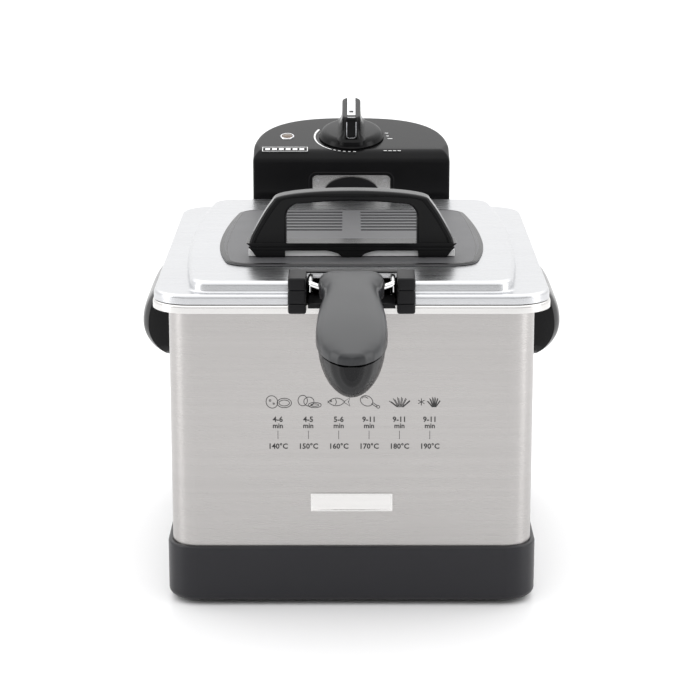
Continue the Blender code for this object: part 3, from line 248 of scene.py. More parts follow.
@dataclass(frozen=True)
class BrushedSteel(Finish):
    """Steel with a fine straight grain, faint mill streaks and handling marks."""

    stretch: Colour = (0.010, 0.010, 1.0)
    depth: float = 0.000030
    streaks: float = 0.07

    def paint(self, brush: Brush) -> None:
        """Paint grain, streaks and smudges."""
        grain = brush.noise(2600.0, 2.0, self.stretch)
        streak = brush.noise(420.0, 3.0, self.stretch)
        smudge = brush.noise(16.0, 4.0)
        tone = brush.ramp(streak * 0.65 + grain * 0.35, ((0.30, 0.0), (0.70, 1.0)))
        brush.set(
            Base_Color=brush.blend(tone, self.shade(1.0 - self.streaks), self.shade(1.0 + self.streaks)),
            Metallic=1.0,
            Roughness=self.roughness + (grain - 0.5) * 0.16 + (smudge - 0.5) * 0.08,
            Anisotropic=0.35,
            Normal=brush.relief(grain * 0.7 + streak * 0.3, 0.30, self.depth))


@dataclass(frozen=True)
class PolishedSteel(Finish):
    """Bright drawn steel with fine lengthwise scratches and a little tarnish."""

    def paint(self, brush: Brush) -> None:
        """Paint scratches and tarnish."""
        scratch = brush.noise(1500.0, 3.0, (1.0, 0.08, 0.6))
        tarnish = brush.noise(60.0, 4.0)
        brush.set(
            Base_Color=brush.blend(brush.ramp(tarnish, ((0.35, 0.0), (0.75, 1.0))),
                                   self.shade(1.0), self.shade(0.90)),
            Metallic=1.0,
            Roughness=self.roughness + scratch * 0.05 + tarnish * 0.06,
            Normal=brush.relief(scratch, 0.12, 0.00001))


@dataclass(frozen=True)
class MouldedPlastic(Finish):
    """Moulded plastic: orange peel when glossy, spark-eroded texture when satin, and light dust."""

    peel: float = 700.0
    depth: float = 0.00001
    dust: float = 0.25
    coat: float = 0.0
    specular: float = 0.5

    def paint(self, brush: Brush) -> None:
        """Paint texture, handling marks and dust."""
        texture = brush.noise(self.peel, 4.0)
        hand = brush.noise(38.0, 5.0)
        speck = brush.ramp(brush.noise(1900.0, 1.0), ((0.70, 0.0), (0.78, 1.0)))
        brush.set(
            Base_Color=brush.blend(speck * self.dust * 0.12 + hand * self.dust * 0.08,
                                   self.shade(1.0), (0.16, 0.16, 0.155)),
            Roughness=self.roughness + (hand - 0.5) * 0.10 + (texture - 0.5) * 0.05,
            Specular_IOR_Level=self.specular,
            Coat_Weight=self.coat,
            Coat_Roughness=0.08,
            Normal=brush.relief(texture, 0.35, self.depth))


@dataclass(frozen=True)
class FibreMat(Finish):
    """A matted filter pad."""

    def paint(self, brush: Brush) -> None:
        """Paint crossing fibres."""
        first = brush.noise(900.0, 4.0, (1.0, 0.15, 1.0))
        second = brush.noise(900.0, 4.0, (0.15, 1.0, 1.0))
        fibre = brush.maths("MAXIMUM", first, second)
        brush.set(Base_Color=brush.blend(fibre, self.shade(0.6), self.shade(1.35)), Roughness=0.95,
                  Normal=brush.relief(fibre, 0.9, 0.0004))


@dataclass(frozen=True)
class HeatTintedSheath(Finish):
    """Oxidised metal sheath with straw and blue tints."""

    def paint(self, brush: Brush) -> None:
        """Paint the tints and the scale."""
        tint = brush.noise(26.0, 3.0)
        scale = brush.noise(900.0, 4.0)
        warm = brush.blend(brush.ramp(tint, ((0.35, 0.0), (0.60, 1.0))), self.shade(1.0),
                           (0.27, 0.21, 0.14))
        brush.set(Base_Color=brush.blend(brush.ramp(scale, ((0.55, 0.0), (0.75, 1.0))), warm,
                                         self.shade(0.55)),
                  Metallic=1.0, Roughness=self.roughness + (scale - 0.5) * 0.25,
                  Normal=brush.relief(scale, 0.25, 0.00003))


@dataclass(frozen=True)
class ClearLens(Finish):
    """Tinted lens with fine ribs inside."""

    def paint(self, brush: Brush) -> None:
        """Paint the tint and the ribs."""
        ribs = brush.noise(1400.0, 1.0, (1.0, 0.02, 0.02))
        brush.set(Base_Color=brush.blend(ribs, self.shade(0.75), self.shade(1.15)),
                  Roughness=self.roughness + ribs * 0.05, IOR=1.49, Transmission_Weight=0.35,
                  Normal=brush.relief(ribs, 0.3, 0.00005))


@dataclass(frozen=True)
class PrintedInk(Finish):
    """Screen-printed ink with a slightly broken film."""

    def paint(self, brush: Brush) -> None:
        """Paint the film."""
        film = brush.noise(2400.0, 3.0)
        brush.set(Base_Color=brush.blend(film, self.shade(0.85), self.shade(1.2)),
                  Roughness=self.roughness + film * 0.1, Normal=brush.relief(film, 0.2, 0.00001))


# One brushed steel in two tones: the wrap's copy is painted darker, a painted shade on the upright front, and
# the lid's copy lighter, painted light on the lid's top.
STEEL_WRAP_PAINTED_SHADE = BrushedSteel("steel_wrap_painted_shade", "brushed_steel", (0.425, 0.411, 0.403), 0.29,
                                 depth=0.000015, streaks=0.035)
STEEL_LID_PAINTED_LIGHT = BrushedSteel("steel_lid_painted_light", "brushed_steel", (0.560, 0.565, 0.578), 0.28,
                         (0.010, 1.0, 0.5), 0.000012, 0.03)
STEEL_TANK = BrushedSteel("steel_tank", "tank_steel", (0.66, 0.65, 0.64), 0.20, (0.06, 0.06, 1.0),
                          0.00001, 0.03)
STEEL_SHEET = BrushedSteel("steel_sheet", "tank_steel", (0.64, 0.63, 0.62), 0.24, (0.02, 1.0, 1.0),
                           0.00001, 0.04)
STEEL_BADGE = BrushedSteel("steel_badge", "brushed_steel", (0.70, 0.69, 0.68), 0.24, (0.02, 1.0, 1.0),
                          0.00001, 0.03)
# The polished steel strip is painted bright white satin plastic, not metal: a painted reflection.
STRIP_PAINTED_REFLECTION = MouldedPlastic("strip_painted_reflection", "polished_steel", (0.86, 0.86, 0.86), 0.30, dust=0.1)
STEEL_POLISHED = PolishedSteel("steel_polished", "polished_steel", (0.80, 0.80, 0.80), 0.07)
GLOSS_BLACK = MouldedPlastic("gloss_black_moulding", "gloss_black", (0.0042, 0.0042, 0.0046), 0.20,
                             420.0, 0.000008, specular=0.13)
# The plate's gloss black is painted mid-grey in its base colour: a painted reflection of the bright
# surroundings.
PLATE_PAINTED_SHEEN = MouldedPlastic("plate_black_painted_sheen", "gloss_black", (0.0720, 0.0720, 0.0760), 0.44,
                             900.0, 0.000012, specular=0.35)
SATIN_BLACK = MouldedPlastic("satin_black_moulding", "satin_black", (0.0060, 0.0059, 0.0068), 0.38,
                             1500.0, 0.00003, specular=0.16)
BASE_BLACK = MouldedPlastic("base_black_moulding", "satin_black", (0.0115, 0.0112, 0.0142), 0.36,
                            1300.0, 0.00002, specular=0.30)
SOFT_GRIP = MouldedPlastic("soft_grip_moulding", "soft_grip", (0.0150, 0.0160, 0.0180), 0.31,
                           1600.0, 0.00002, specular=0.42)
GRIP_BLACK = MouldedPlastic("grip_black_moulding", "gloss_black", (0.0050, 0.0050, 0.0058), 0.27,
                            700.0, 0.00001, specular=0.22)
RUBBER = MouldedPlastic("foot_rubber", "rubber_black", (0.016, 0.016, 0.016), 0.80, 900.0, 0.00006, 0.6)
BAKELITE = MouldedPlastic("brown_bakelite", "bakelite", (0.055, 0.030, 0.018), 0.50, 500.0, 0.00003, 0.5)
BUTTON_RED = MouldedPlastic("red_button", "button_red", (0.50, 0.035, 0.025), 0.32, 600.0)
COPPER = PolishedSteel("copper_tube", "copper", (0.72, 0.38, 0.22), 0.24)
SILVER = PolishedSteel("silver_trim", "silver_inlay", (0.78, 0.78, 0.80), 0.22)
FILTER_MAT = FibreMat("filter_mat", "filter_grey", (0.050, 0.052, 0.054), 0.95)
SHEATH = HeatTintedSheath("element_sheath_tint", "element_sheath", (0.20, 0.19, 0.18), 0.42)
AMBER = ClearLens("amber_lens", "lamp_amber", (0.16, 0.11, 0.07), 0.10)
INK_BLACK = PrintedInk("black_ink", "satin_black", (0.018, 0.017, 0.017), 0.50)
INK_WHITE = PrintedInk("white_ink", "silver_inlay", (0.80, 0.80, 0.80), 0.45)


# ---- shaping ---------------------------------------------------------------------------------
def rounded(half_width: float, front: float, rear: float, corner: float, z: float,
            steps: int = 14, side_steps: int = 1) -> list[Vector]:
    """Lay out a level rectangle with round corners.

    Args:
        half_width: half its width.
        front: Y of its front.
        rear: Y of its back.
        corner: radius of its corners.
        z: its height.
        steps: segments in each corner.
        side_steps: segments in each side.

    Returns:
        Its points, anticlockwise.
    """
    centres = [(half_width - corner, front + corner, -pi / 2.0),
               (half_width - corner, rear - corner, 0.0),
               (-half_width + corner, rear - corner, pi / 2.0),
               (-half_width + corner, front + corner, pi)]
    points: list[Vector] = []
    for index, (cx, cy, start) in enumerate(centres):
        for step in range(steps + 1):
            angle = start + step * pi / 2.0 / steps
            points.append(Vector((cx + corner * cos(angle), cy + corner * sin(angle), z)))
        nx, ny, after = centres[(index + 1) % 4]
        target = Vector((nx + corner * cos(after), ny + corner * sin(after), z))
        last = points[-1]
        for step in range(1, side_steps):
            points.append(last.lerp(target, step / side_steps))
    return points


def filleted(corners: Sequence[Sequence[float]], radius: float, steps: int = 8) -> list[Vector]:
    """Round the inner corners of a path.

    Args:
        corners: the path's corner points.
        radius: radius of each bend.
        steps: segments in each bend.

    Returns:
        The path's points.
    """
    points = [Vector(corners[0])]
    for before, corner, after in zip(corners, corners[1:], corners[2:]):
        here = Vector(corner)
        back = (Vector(before) - here).normalized()
        onward = (Vector(after) - here).normalized()
        half = back.angle(onward) / 2.0
        centre = here + (back + onward).normalized() * (radius / sin(half))
        start = here + back * (radius / tan(half)) - centre
        end = here + onward * (radius / tan(half)) - centre
        turn = start.rotation_difference(end)
        points += [centre + Quaternion(turn.axis, turn.angle * step / steps) @ start
                   for step in range(steps + 1)]
    points.append(Vector(corners[-1]))
    return points


def softened(outline: Sequence[Flat], passes: int = 2) -> list[Flat]:
    """Cut the corners of an open outline, keeping its two ends."""
    points = list(outline)
    for _ in range(passes):
        cut = [points[0]]
        for (ax, ay), (bx, by) in zip(points, points[1:]):
            cut.append((ax * 0.75 + bx * 0.25, ay * 0.75 + by * 0.25))
            cut.append((ax * 0.25 + bx * 0.75, ay * 0.25 + by * 0.75))
        points = cut + [points[-1]]
    return points


def evenly(line: Sequence[Flat], count: int) -> list[Flat]:
    """Lay a line out again as a number of equal steps.

    Args:
        line: its points.
        count: how many steps.

    Returns:
        The new points.
    """
    points = [Vector(point) for point in line]
    reach = [0.0]
    for first, second in zip(points, points[1:]):
        reach.append(reach[-1] + (second - first).length)
    laid: list[Flat] = []
    index = 0
    for step in range(count + 1):
        goal = reach[-1] * step / count
        while index < len(points) - 2 and reach[index + 1] < goal:
            index += 1
        share = (goal - reach[index]) / (reach[index + 1] - reach[index])
        laid.append(tuple(points[index].lerp(points[index + 1], share)))
    return laid


def eased(table: Sequence[Station], where: float) -> float:
    """Read a value off stations joined by a smooth curve.

    Args:
        table: positions in falling order, each with its value.
        where: the position to read at.

    Returns:
        The value there.
    """
    index = 0
    while index < len(table) - 2 and where < table[index + 1][0]:
        index += 1
    (xa, a), (xb, b) = table[index], table[index + 1]
    before = table[index - 1][1] if index > 0 else a
    after = table[index + 2][1] if index + 2 < len(table) else b
    share = min(max((where - xa) / (xb - xa), 0.0), 1.0)
    return 0.5 * (2.0 * a + (b - before) * share + (2.0 * before - 5.0 * a + 4.0 * b - after) * share ** 2
                  + (3.0 * a - before - 3.0 * b + after) * share ** 3)


class Form:
    """A mesh being shaped in the fryer's own layout."""

    def __init__(self) -> None:
        """Start with no faces."""
        self.bm = bmesh.new()

    def block(self, low: Sequence[float], high: Sequence[float]) -> "Form":
        """Add a block between two corners."""
        size = Vector(high) - Vector(low)
        middle = (Vector(high) + Vector(low)) / 2.0
        matrix = Matrix.Translation(middle) @ Matrix.Diagonal((*size, 1.0))
        bmesh.ops.create_cube(self.bm, size=1.0, matrix=matrix)
        return self

    def rod(self, start: Sequence[float], axis: Axis, length: float, radius: float,
            segments: int = 32, end_radius: float | None = None) -> "Form":
        """Add a round rod or cone that leaves start along an axis."""
        matrix = (Matrix.Translation(Vector(start)) @ axis.upright_to()
                  @ Matrix.Translation((0.0, 0.0, length / 2.0)))
        bmesh.ops.create_cone(self.bm, cap_ends=True, segments=segments, radius1=radius,
                              radius2=radius if end_radius is None else end_radius, depth=length,
                              matrix=matrix)
        return self

    def loft(self, rings: Sequence[Sequence[Vector]], wrap: bool = False) -> "Form":
        """Draw a skin from ring to ring.

        Args:
            rings: equal numbers of points each.
            wrap: close the last ring on the first, in place of flat ends.

        Returns:
            This form.
        """
        station = self.bm.verts.layers.int.get("station") or self.bm.verts.layers.int.new("station")
        circle = bmesh.ops.create_circle(self.bm, segments=len(rings[0]), radius=1.0)["verts"]
        for index, vert in enumerate(circle):
            vert[station] = index
            vert.co = rings[0][index]
        first = list({edge for vert in circle for edge in vert.link_edges})
        edges = first
        for ring in list(rings[1:]) + ([rings[0]] if wrap else []):
            drawn = bmesh.ops.extrude_edge_only(self.bm, edges=edges)["geom"]
            fresh = {item for item in drawn if isinstance(item, BMVert)}
            for vert in fresh:
                vert.co = ring[vert[station]]
            edges = [item for item in drawn if isinstance(item, BMEdge) and set(item.verts) <= fresh]
        if not wrap:
            bmesh.ops.edgeloop_fill(self.bm, edges=first)
            bmesh.ops.edgeloop_fill(self.bm, edges=edges)
        return self

    def revolve(self, profile: Sequence[Flat], steps: int = 64, place: Matrix = Matrix.Identity(4)) -> "Form":
        """Turn a profile of (radius, height) about +Z and then place it."""
        verts = [self.bm.verts.new((radius, 0.0, height)) for radius, height in profile]
        edges = [self.bm.edges.new(pair) for pair in zip(verts, verts[1:])]
        known = set(self.bm.verts) - set(verts)
        bmesh.ops.spin(self.bm, geom=verts + edges, cent=(0.0, 0.0, 0.0), axis=(0.0, 0.0, 1.0),
                       angle=2.0 * pi, steps=steps, use_merge=True)
        fresh = [vert for vert in self.bm.verts if vert not in known]
        bmesh.ops.transform(self.bm, matrix=place, verts=fresh)
        return self

    def prism(self, outline: Sequence[Flat], axis: Axis, low: float, high: float) -> BMFace:
        """Draw a flat outline out along an axis.

        Args:
            outline: (a, b) points: Y and Z for X, X and Z for Y, X and Y for Z.
            axis: the direction it is drawn along.
            low: where it starts on that axis.
            high: where it ends.

        Returns:
            The face at the low end.
        """
        lay: dict[Axis, Callable[[float, float], tuple[float, float, float]]] = {
            Axis.X: lambda a, b: (low, a, b),
            Axis.Y: lambda a, b: (a, low, b),
            Axis.Z: lambda a, b: (a, b, low)}
        face = self.bm.faces.new([self.bm.verts.new(lay[axis](a, b)) for a, b in outline])
        drawn = bmesh.ops.extrude_face_region(self.bm, geom=[face], use_keep_orig=True)["geom"]
        verts = [item for item in drawn if isinstance(item, BMVert)]
        bmesh.ops.translate(self.bm, verts=verts, vec=Vector(axis.value) * (high - low))
        return face

    def wires(self, paths: Sequence[Sequence[Vector]], radius: float, sides: int = 3,
              cyclic: bool = False) -> "Form":
        """Add round wires along paths."""
        curve = bpy.data.curves.new("wire_path", "CURVE")
        curve.dimensions = "3D"
        curve.bevel_depth = radius
        curve.bevel_resolution = sides
        curve.use_fill_caps = not cyclic
        for path in paths:
            spline = curve.splines.new("POLY")
            spline.points.add(len(path) - 1)
            for point, place in zip(spline.points, path):
                point.co = (*place, 1.0)
            spline.use_cyclic_u = cyclic
        self._take_in(curve)
        return self

    def lettering(self, words: str, size: float, centre: Vector, turn: Matrix, depth: float) -> "Form":
        """Add figures as a thin raised film, centred on a place."""
        text = bpy.data.curves.new("figures", "FONT")
        text.body = words
        text.size = size
        text.align_x = "CENTER"
        text.align_y = "CENTER"
        text.extrude = depth / 2.0
        text.offset = size * 0.028
        text.resolution_u = 2
        self._take_in(text, Matrix.Translation(centre) @ turn)
        return self

    def _take_in(self, curve: bpy.types.Curve, place: Matrix = Matrix.Identity(4)) -> None:
        """Turn a curve or text into mesh, weld it and add it here."""
        carrier = bpy.data.objects.new(curve.name, curve)
        bpy.context.scene.collection.objects.link(carrier)
        bpy.context.view_layer.update()
        mesh = bpy.data.meshes.new_from_object(carrier.evaluated_get(
            bpy.context.evaluated_depsgraph_get()))
        mesh.transform(place)
        self.bm.from_mesh(mesh)
        bpy.data.objects.remove(carrier)
        bpy.data.meshes.remove(mesh)
        bmesh.ops.remove_doubles(self.bm, verts=self.bm.verts, dist=0.000001)

    def squash(self, axis: Axis, about: float, factor: float) -> "Form":
        """Flatten the whole form along an axis, towards a plane."""
        unit = Vector(axis.value)
        for vert in self.bm.verts:
            reach = vert.co.dot(unit) - about
            vert.co -= unit * reach * (1.0 - factor)
        return self

    def moved(self, matrix: Matrix) -> "Form":
        """Transform the whole form."""
        bmesh.ops.transform(self.bm, matrix=matrix, verts=self.bm.verts)
        return self

    def soften(self, width: float, segments: int = 2, angle: float = 35.0,
               where: Callable[[BMEdge], bool] = lambda edge: True) -> "Form":
        """Round the edges that turn by more than an angle.

        Args:
            width: how far the rounding reaches.
            segments: segments across it.
            angle: the least turn, in degrees.
            where: keeps only some edges.

        Returns:
            This form.
        """
        edges = [edge for edge in self.bm.edges
                 if len(edge.link_faces) == 2 and edge.calc_face_angle(0.0) > radians(angle) and where(edge)]
        bmesh.ops.bevel(self.bm, geom=edges, offset=width, offset_type="OFFSET", segments=segments,
                        profile=0.5, affect="EDGES", clamp_overlap=True, material=-1)
        return self

    def carve(self, tools: Iterable["Form"]) -> "Form":
        """Cut other closed forms out of this one."""
        body = self._loose("body")
        helpers = [tool._loose("tool") for tool in tools]
        for helper in helpers:
            modifier = body.modifiers.new("cut", "BOOLEAN")
            modifier.operation = "DIFFERENCE"
            modifier.solver = "EXACT"
            modifier.object = helper
        bpy.context.view_layer.update()
        mesh = bpy.data.meshes.new_from_object(body.evaluated_get(bpy.context.evaluated_depsgraph_get()))
        self.bm = bmesh.new()
        self.bm.from_mesh(mesh)
        for thing in [body, *helpers]:
            bpy.data.objects.remove(thing)
        bpy.data.meshes.remove(mesh)
        return self

    def gather(self, other: "Form") -> "Form":
        """Add another form's mesh to this one as it is."""
        mesh = bpy.data.meshes.new("gathered")
        other.bm.to_mesh(mesh)
        other.bm.free()
        self.bm.from_mesh(mesh)
        bpy.data.meshes.remove(mesh)
        return self

    def _loose(self, name: str) -> bpy.types.Object:
        """Turn the form into an object for a moment."""
        bmesh.ops.remove_doubles(self.bm, verts=self.bm.verts, dist=0.0000005)
        bmesh.ops.recalc_face_normals(self.bm, faces=self.bm.faces)
        mesh = bpy.data.meshes.new(name)
        self.bm.to_mesh(mesh)
        self.bm.free()
        made = bpy.data.objects.new(name, mesh)
        bpy.context.scene.collection.objects.link(made)
        return made

    def cast(self, name: str, finish: Finish, body: str, *stands_for: str, angle: float = 32.0,
             place: Matrix = Matrix.Identity(4)) -> bpy.types.Object:
        """Finish the form as a piece that rides on a body.

        Args:
            name: the piece's name.
            finish: its finish.
            body: the body that carries it.
            stands_for: the plain pieces it takes the place of.
            angle: edges sharper than this stay crisp, in degrees.
            place: a last move, before the layout is set on the frame.

        Returns:
            The piece.
        """
        bmesh.ops.remove_doubles(self.bm, verts=self.bm.verts, dist=0.0000005)
        bmesh.ops.dissolve_degenerate(self.bm, edges=self.bm.edges, dist=0.0000005)
        bmesh.ops.recalc_face_normals(self.bm, faces=self.bm.faces)
        matrix = Matrix.Translation((0.0, FRONT_PLANE, 0.0)) @ place
        bmesh.ops.transform(self.bm, matrix=matrix, verts=self.bm.verts)
        mesh = bpy.data.meshes.new(name)
        self.bm.to_mesh(mesh)
        self.bm.free()
        mesh.shade_smooth()
        mesh.set_sharp_from_angle(angle=radians(angle))
        mesh.materials.append(finish.material())
        piece = bpy.data.objects.new(name, mesh)
        bpy.context.scene.collection.objects.link(piece)
        even = piece.modifiers.new("even_shading", "WEIGHTED_NORMAL")
        even.keep_sharp = True
        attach(piece, body)
        if stands_for:
            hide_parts(*stands_for)
        LOG.info("cast %s on %s: %d faces", name, body, len(mesh.polygons))
        return piece


def dress(finish: Finish, *nodes: str) -> None:
    """Give carried pieces a finish."""
    for node in nodes:
        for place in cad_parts[node].material_slots:
            place.material = finish.material()
        LOG.info("dressed %s in %s", node, finish.name)


def refine(node: str, finish: Finish, body: str, edge: float, segments: int = 2) -> None:
    """Recast a plain piece with rounded edges.

    Args:
        node: the plain piece.
        finish: its finish.
        body: the body that carries it.
        edge: how far the rounding reaches.
        segments: segments across the rounding.
    """
    form = Form()
    form.bm.from_mesh(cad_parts[node].data)
    form.moved(Matrix.Translation((0.0, -FRONT_PLANE, 0.0)))
    bmesh.ops.remove_doubles(form.bm, verts=form.bm.verts, dist=0.000001)
    bmesh.ops.dissolve_limit(form.bm, angle_limit=radians(1.0), verts=form.bm.verts, edges=form.bm.edges)
    form.soften(edge, segments)
    form.cast(node + "_finished", finish, body, node)


# ---- housing ---------------------------------------------------------------------------------
@dataclass
class Housing:
    """Steel housing in its moulded base, with carrying handles and the printed frying guide."""

    half_width: float = 0.1130
    depth: float = 0.2785
    bottom: float = 0.0305
    top: float = 0.1900
    corner: float = 0.0170
    sheet: float = 0.0009
    base_half_width: float = 0.1160
    base_bottom: float = 0.0030
    base_top: float = 0.0388
    base_corner: float = 0.0200
    column_pitch: float = 0.0188
    first_column: float = -0.0456
    body: str = "housing"
    columns: tuple[tuple[str, str], ...] = (("4-6", "140"), ("4-5", "150"), ("5-6", "160"),
                                            ("9-11", "170"), ("9-11", "180"), ("9-11", "190"))

    def build(self) -> None:
        """Build and dress every piece of the housing."""
        self.build_base()
        self.build_shell()
        for side, label in ((-1.0, "left"), (1.0, "right")):
            self.build_side_handle(side, label)
        self.build_guide_print()
        self.build_badge()
        dress(RUBBER, "foot_front_left", "foot_front_right", "foot_rear_left", "foot_rear_right")
        dress(STEEL_POLISHED, "side_handle_screw_left_1", "side_handle_screw_left_2",
              "side_handle_screw_right_1", "side_handle_screw_right_2", "guide_bracket_screw_1",
              "guide_bracket_screw_2", "guide_bracket_screw_3", "guide_bracket_screw_4")
        refine("guide_bracket", SATIN_BLACK, self.body, 0.0006)
        dress(SATIN_BLACK, "interlock_pin")

    def build_base(self) -> None:
        """Mould the tray that the housing stands in."""
        out = self.base_half_width - self.half_width
        front, rear = -out, self.depth + out
        gap = 0.0003
        seat = self.half_width + gap

        def ring(inset: float, z: float) -> list[Vector]:
            """Lay out a ring of the tray's outside."""
            return rounded(self.base_half_width - inset, front + inset, rear - inset,
                           self.base_corner - inset, z)

        low = [ring(0.0040 * (1.0 - sin(a)), self.base_bottom + 0.0040 * (1.0 - cos(a)))
               for a in (0.0, 0.4, 0.8, 1.2, pi / 2.0)]
        high = [ring(0.0012 * (1.0 - cos(a)), self.base_top - 0.0012 * (1.0 - sin(a)))
                for a in (0.0, 0.5, 1.0, pi / 2.0)]
        inner = [rounded(seat, -gap, self.depth + gap, self.corner + gap, z)
                 for z in (self.base_top, self.bottom - gap)]
        ledge = [rounded(self.half_width - 0.0030, 0.0030, self.depth - 0.0030, 0.0140, z)
                 for z in (self.bottom - gap, self.base_bottom + 0.0030)]
        Form().loft(low + high + inner + ledge).cast("base_tray_moulding", BASE_BLACK, self.body, "base_tray")

    def build_shell(self) -> None:
        """Fold the steel wrap."""
        def ring(inset: float, z: float) -> list[Vector]:
            """Lay out a ring of the wrap."""
            return rounded(self.half_width - inset, inset, self.depth - inset,
                           max(self.corner - inset, 0.004), z, steps=20)

        fold = [ring(0.0018 * (1.0 - cos(a)), self.top - 0.0018 * (1.0 - sin(a)))
                for a in (0.0, 0.4, 0.8, 1.2, pi / 2.0)]
        rings = [ring(0.0, self.bottom), *fold, ring(0.0070, self.top),
                 ring(0.0070, self.top - self.sheet), ring(self.sheet + 0.0004, self.top - 0.0017),
                 ring(self.sheet, self.top - 0.0025), ring(self.sheet, self.bottom)]
        # The wrap's steel carries painted shade: its colour is set darker than the lid's, for the upright
        # front's darker look.
        Form().loft(rings, wrap=True).cast("housing_wrap", STEEL_WRAP_PAINTED_SHADE, self.body, "housing_shell")

    def handle_section(self, side: float, y: float, reach: float, drop: float) -> list[Vector]:
        """Lay out one section of a side handle, from under the rim round to the wall."""
        wall = self.half_width + 0.0003
        rise = self.top - 0.0015 - 0.1600
        points: list[Vector] = []
        for step in range(25):
            angle = pi / 2.0 - step * (pi / 2.0 + 1.15) / 24
            height = (rise if angle >= 0.0 else drop) * sin(angle)
            points.append(Vector((side * (wall + reach * cos(angle)), y, 0.1600 + height)))
        foot = points[-1]
        points.append(Vector((side * (wall + 0.35 * (abs(foot.x) - wall)), y, foot.z - 0.0010)))
        points.append(Vector((side * wall, y, foot.z)))
        return points

    def build_side_handle(self, side: float, label: str) -> None:
        """Mould one carrying handle with its finger pocket."""
        rings = []
        for step in range(25):
            along = step / 24.0
            y = 0.0820 + 0.1140 * along
            share = max(1.0 - abs(2.0 * along - 1.0) ** 7.0, 0.0) ** 0.5
            share = 0.34 + 0.66 * share
            rings.append(self.handle_section(side, y, 0.0239 * share, 0.0215 * (0.7 + 0.3 * share)))
        near = min(side * 0.1190, side * 0.1305)
        pocket = Form().block((near, 0.0940, 0.1300), (near + 0.0115, 0.1840, 0.1690)).soften(0.0030, 4)
        form = Form().loft(rings).carve([pocket])
        form.cast(f"side_handle_{label}_moulding", GLOSS_BLACK, self.body, f"side_handle_{label}")

    def build_guide_print(self) -> None:
        """Print times, ticks and temperatures on the front in six columns, each under its sign."""
        upright = Matrix.Rotation(pi / 2.0, 4, "X")
        film = Form()
        for index, (minutes, degrees_c) in enumerate(self.columns):
            x = self.first_column + index * self.column_pitch
            film.lettering(minutes, 0.0047, Vector((x, 0.0, 0.1211)), upright, 0.00012)
            film.lettering("min", 0.0044, Vector((x, 0.0, 0.1170)), upright, 0.00012)
            film.lettering(degrees_c + "°C", 0.0047, Vector((x, 0.0, 0.1038)), upright, 0.00012)
            film.block((x - 0.00016, -0.00006, 0.1085), (x + 0.00016, 0.00006, 0.1140))
        film.cast("frying_guide_figures", INK_BLACK, self.body)
        signs = [self.sign_potato, self.sign_slices, self.sign_fish, self.sign_chicken,
                 self.sign_sticks, self.sign_frozen]
        strokes = Form()
        for index, sign in enumerate(signs):
            centre = Vector((self.first_column + index * self.column_pitch, 0.0, 0.1324))
            strokes.wires([[centre + Vector((1.12 * a, 0.0, 1.12 * b)) for a, b in line] for line in sign()],
                          0.00026, 1)
        strokes.squash(Axis.Y, 0.0, 0.30)
        strokes.cast("frying_guide_signs", INK_BLACK, self.body)

    @staticmethod
    def oval(cx: float, cz: float, wide: float, high: float, start: float = 0.0, end: float = 360.0,
             lean: float = 0.0, steps: int = 20) -> list[Flat]:
        """Lay out part of a leaning oval, in degrees."""
        points = []
        for step in range(steps + 1):
            angle = radians(start + (end - start) * step / steps)
            a, b = wide * cos(angle), high * sin(angle)
            points.append((cx + a * cos(lean) - b * sin(lean), cz + a * sin(lean) + b * cos(lean)))
        return points

    def sign_potato(self) -> list[list[Flat]]:
        """Draw a potato beside half of one."""
        return [self.oval(-0.0032, 0.0, 0.0032, 0.0036, lean=0.3), self.oval(0.0036, -0.0006, 0.0040, 0.0027),
                self.oval(0.0036, -0.0006, 0.0029, 0.0017), self.oval(-0.0042, 0.0008, 0.0005, 0.0005),
                self.oval(-0.0022, -0.0010, 0.0004, 0.0004)]

    def sign_slices(self) -> list[list[Flat]]:
        """Draw three round slices."""
        return [self.oval(-0.0030, 0.0008, 0.0026, 0.0030), self.oval(0.0004, 0.0002, 0.0028, 0.0026),
                self.oval(0.0036, -0.0018, 0.0036, 0.0015), self.oval(0.0036, -0.0018, 0.0022, 0.0007)]

    def sign_fish(self) -> list[list[Flat]]:
        """Draw a fish."""
        back = self.oval(-0.0012, -0.0035, 0.0056, 0.0057, 38.0, 150.0)
        belly = self.oval(-0.0012, 0.0035, 0.0056, 0.0057, 210.0, 322.0)
        tail = [(0.0030, 0.0002), (0.0062, 0.0024), (0.0054, 0.0), (0.0062, -0.0024), (0.0030, -0.0002)]
        return [back, belly, tail, self.oval(-0.0042, 0.0005, 0.0004, 0.0004),
                self.oval(-0.0022, 0.0, 0.0009, 0.0016, -70.0, 70.0)]

    def sign_chicken(self) -> list[list[Flat]]:
        """Draw a drumstick."""
        return [self.oval(-0.0014, 0.0006, 0.0036, 0.0028, lean=-0.5), [(0.0012, -0.0010), (0.0042, -0.0030)],
                [(0.0018, -0.0002), (0.0046, -0.0022)], self.oval(0.0050, -0.0028, 0.0008, 0.0008),
                self.oval(-0.0020, 0.0014, 0.0020, 0.0013, 60.0, 200.0, -0.5)]

    def sign_sticks(self) -> list[list[Flat]]:
        """Draw a heap of potato sticks."""
        lines = []
        for index, lean in enumerate((-52.0, -30.0, -10.0, 8.0, 27.0, 48.0)):
            a = radians(lean)
            start = (-0.0012 + 0.0005 * index, -0.0030)
            lines.append([start, (start[0] + 0.0058 * sin(a), start[1] + 0.0058 * cos(a))])
            lines.append([(start[0] + 0.0006, start[1]),
                          (start[0] + 0.0006 + 0.0052 * sin(a), start[1] + 0.0052 * cos(a))])
        return lines

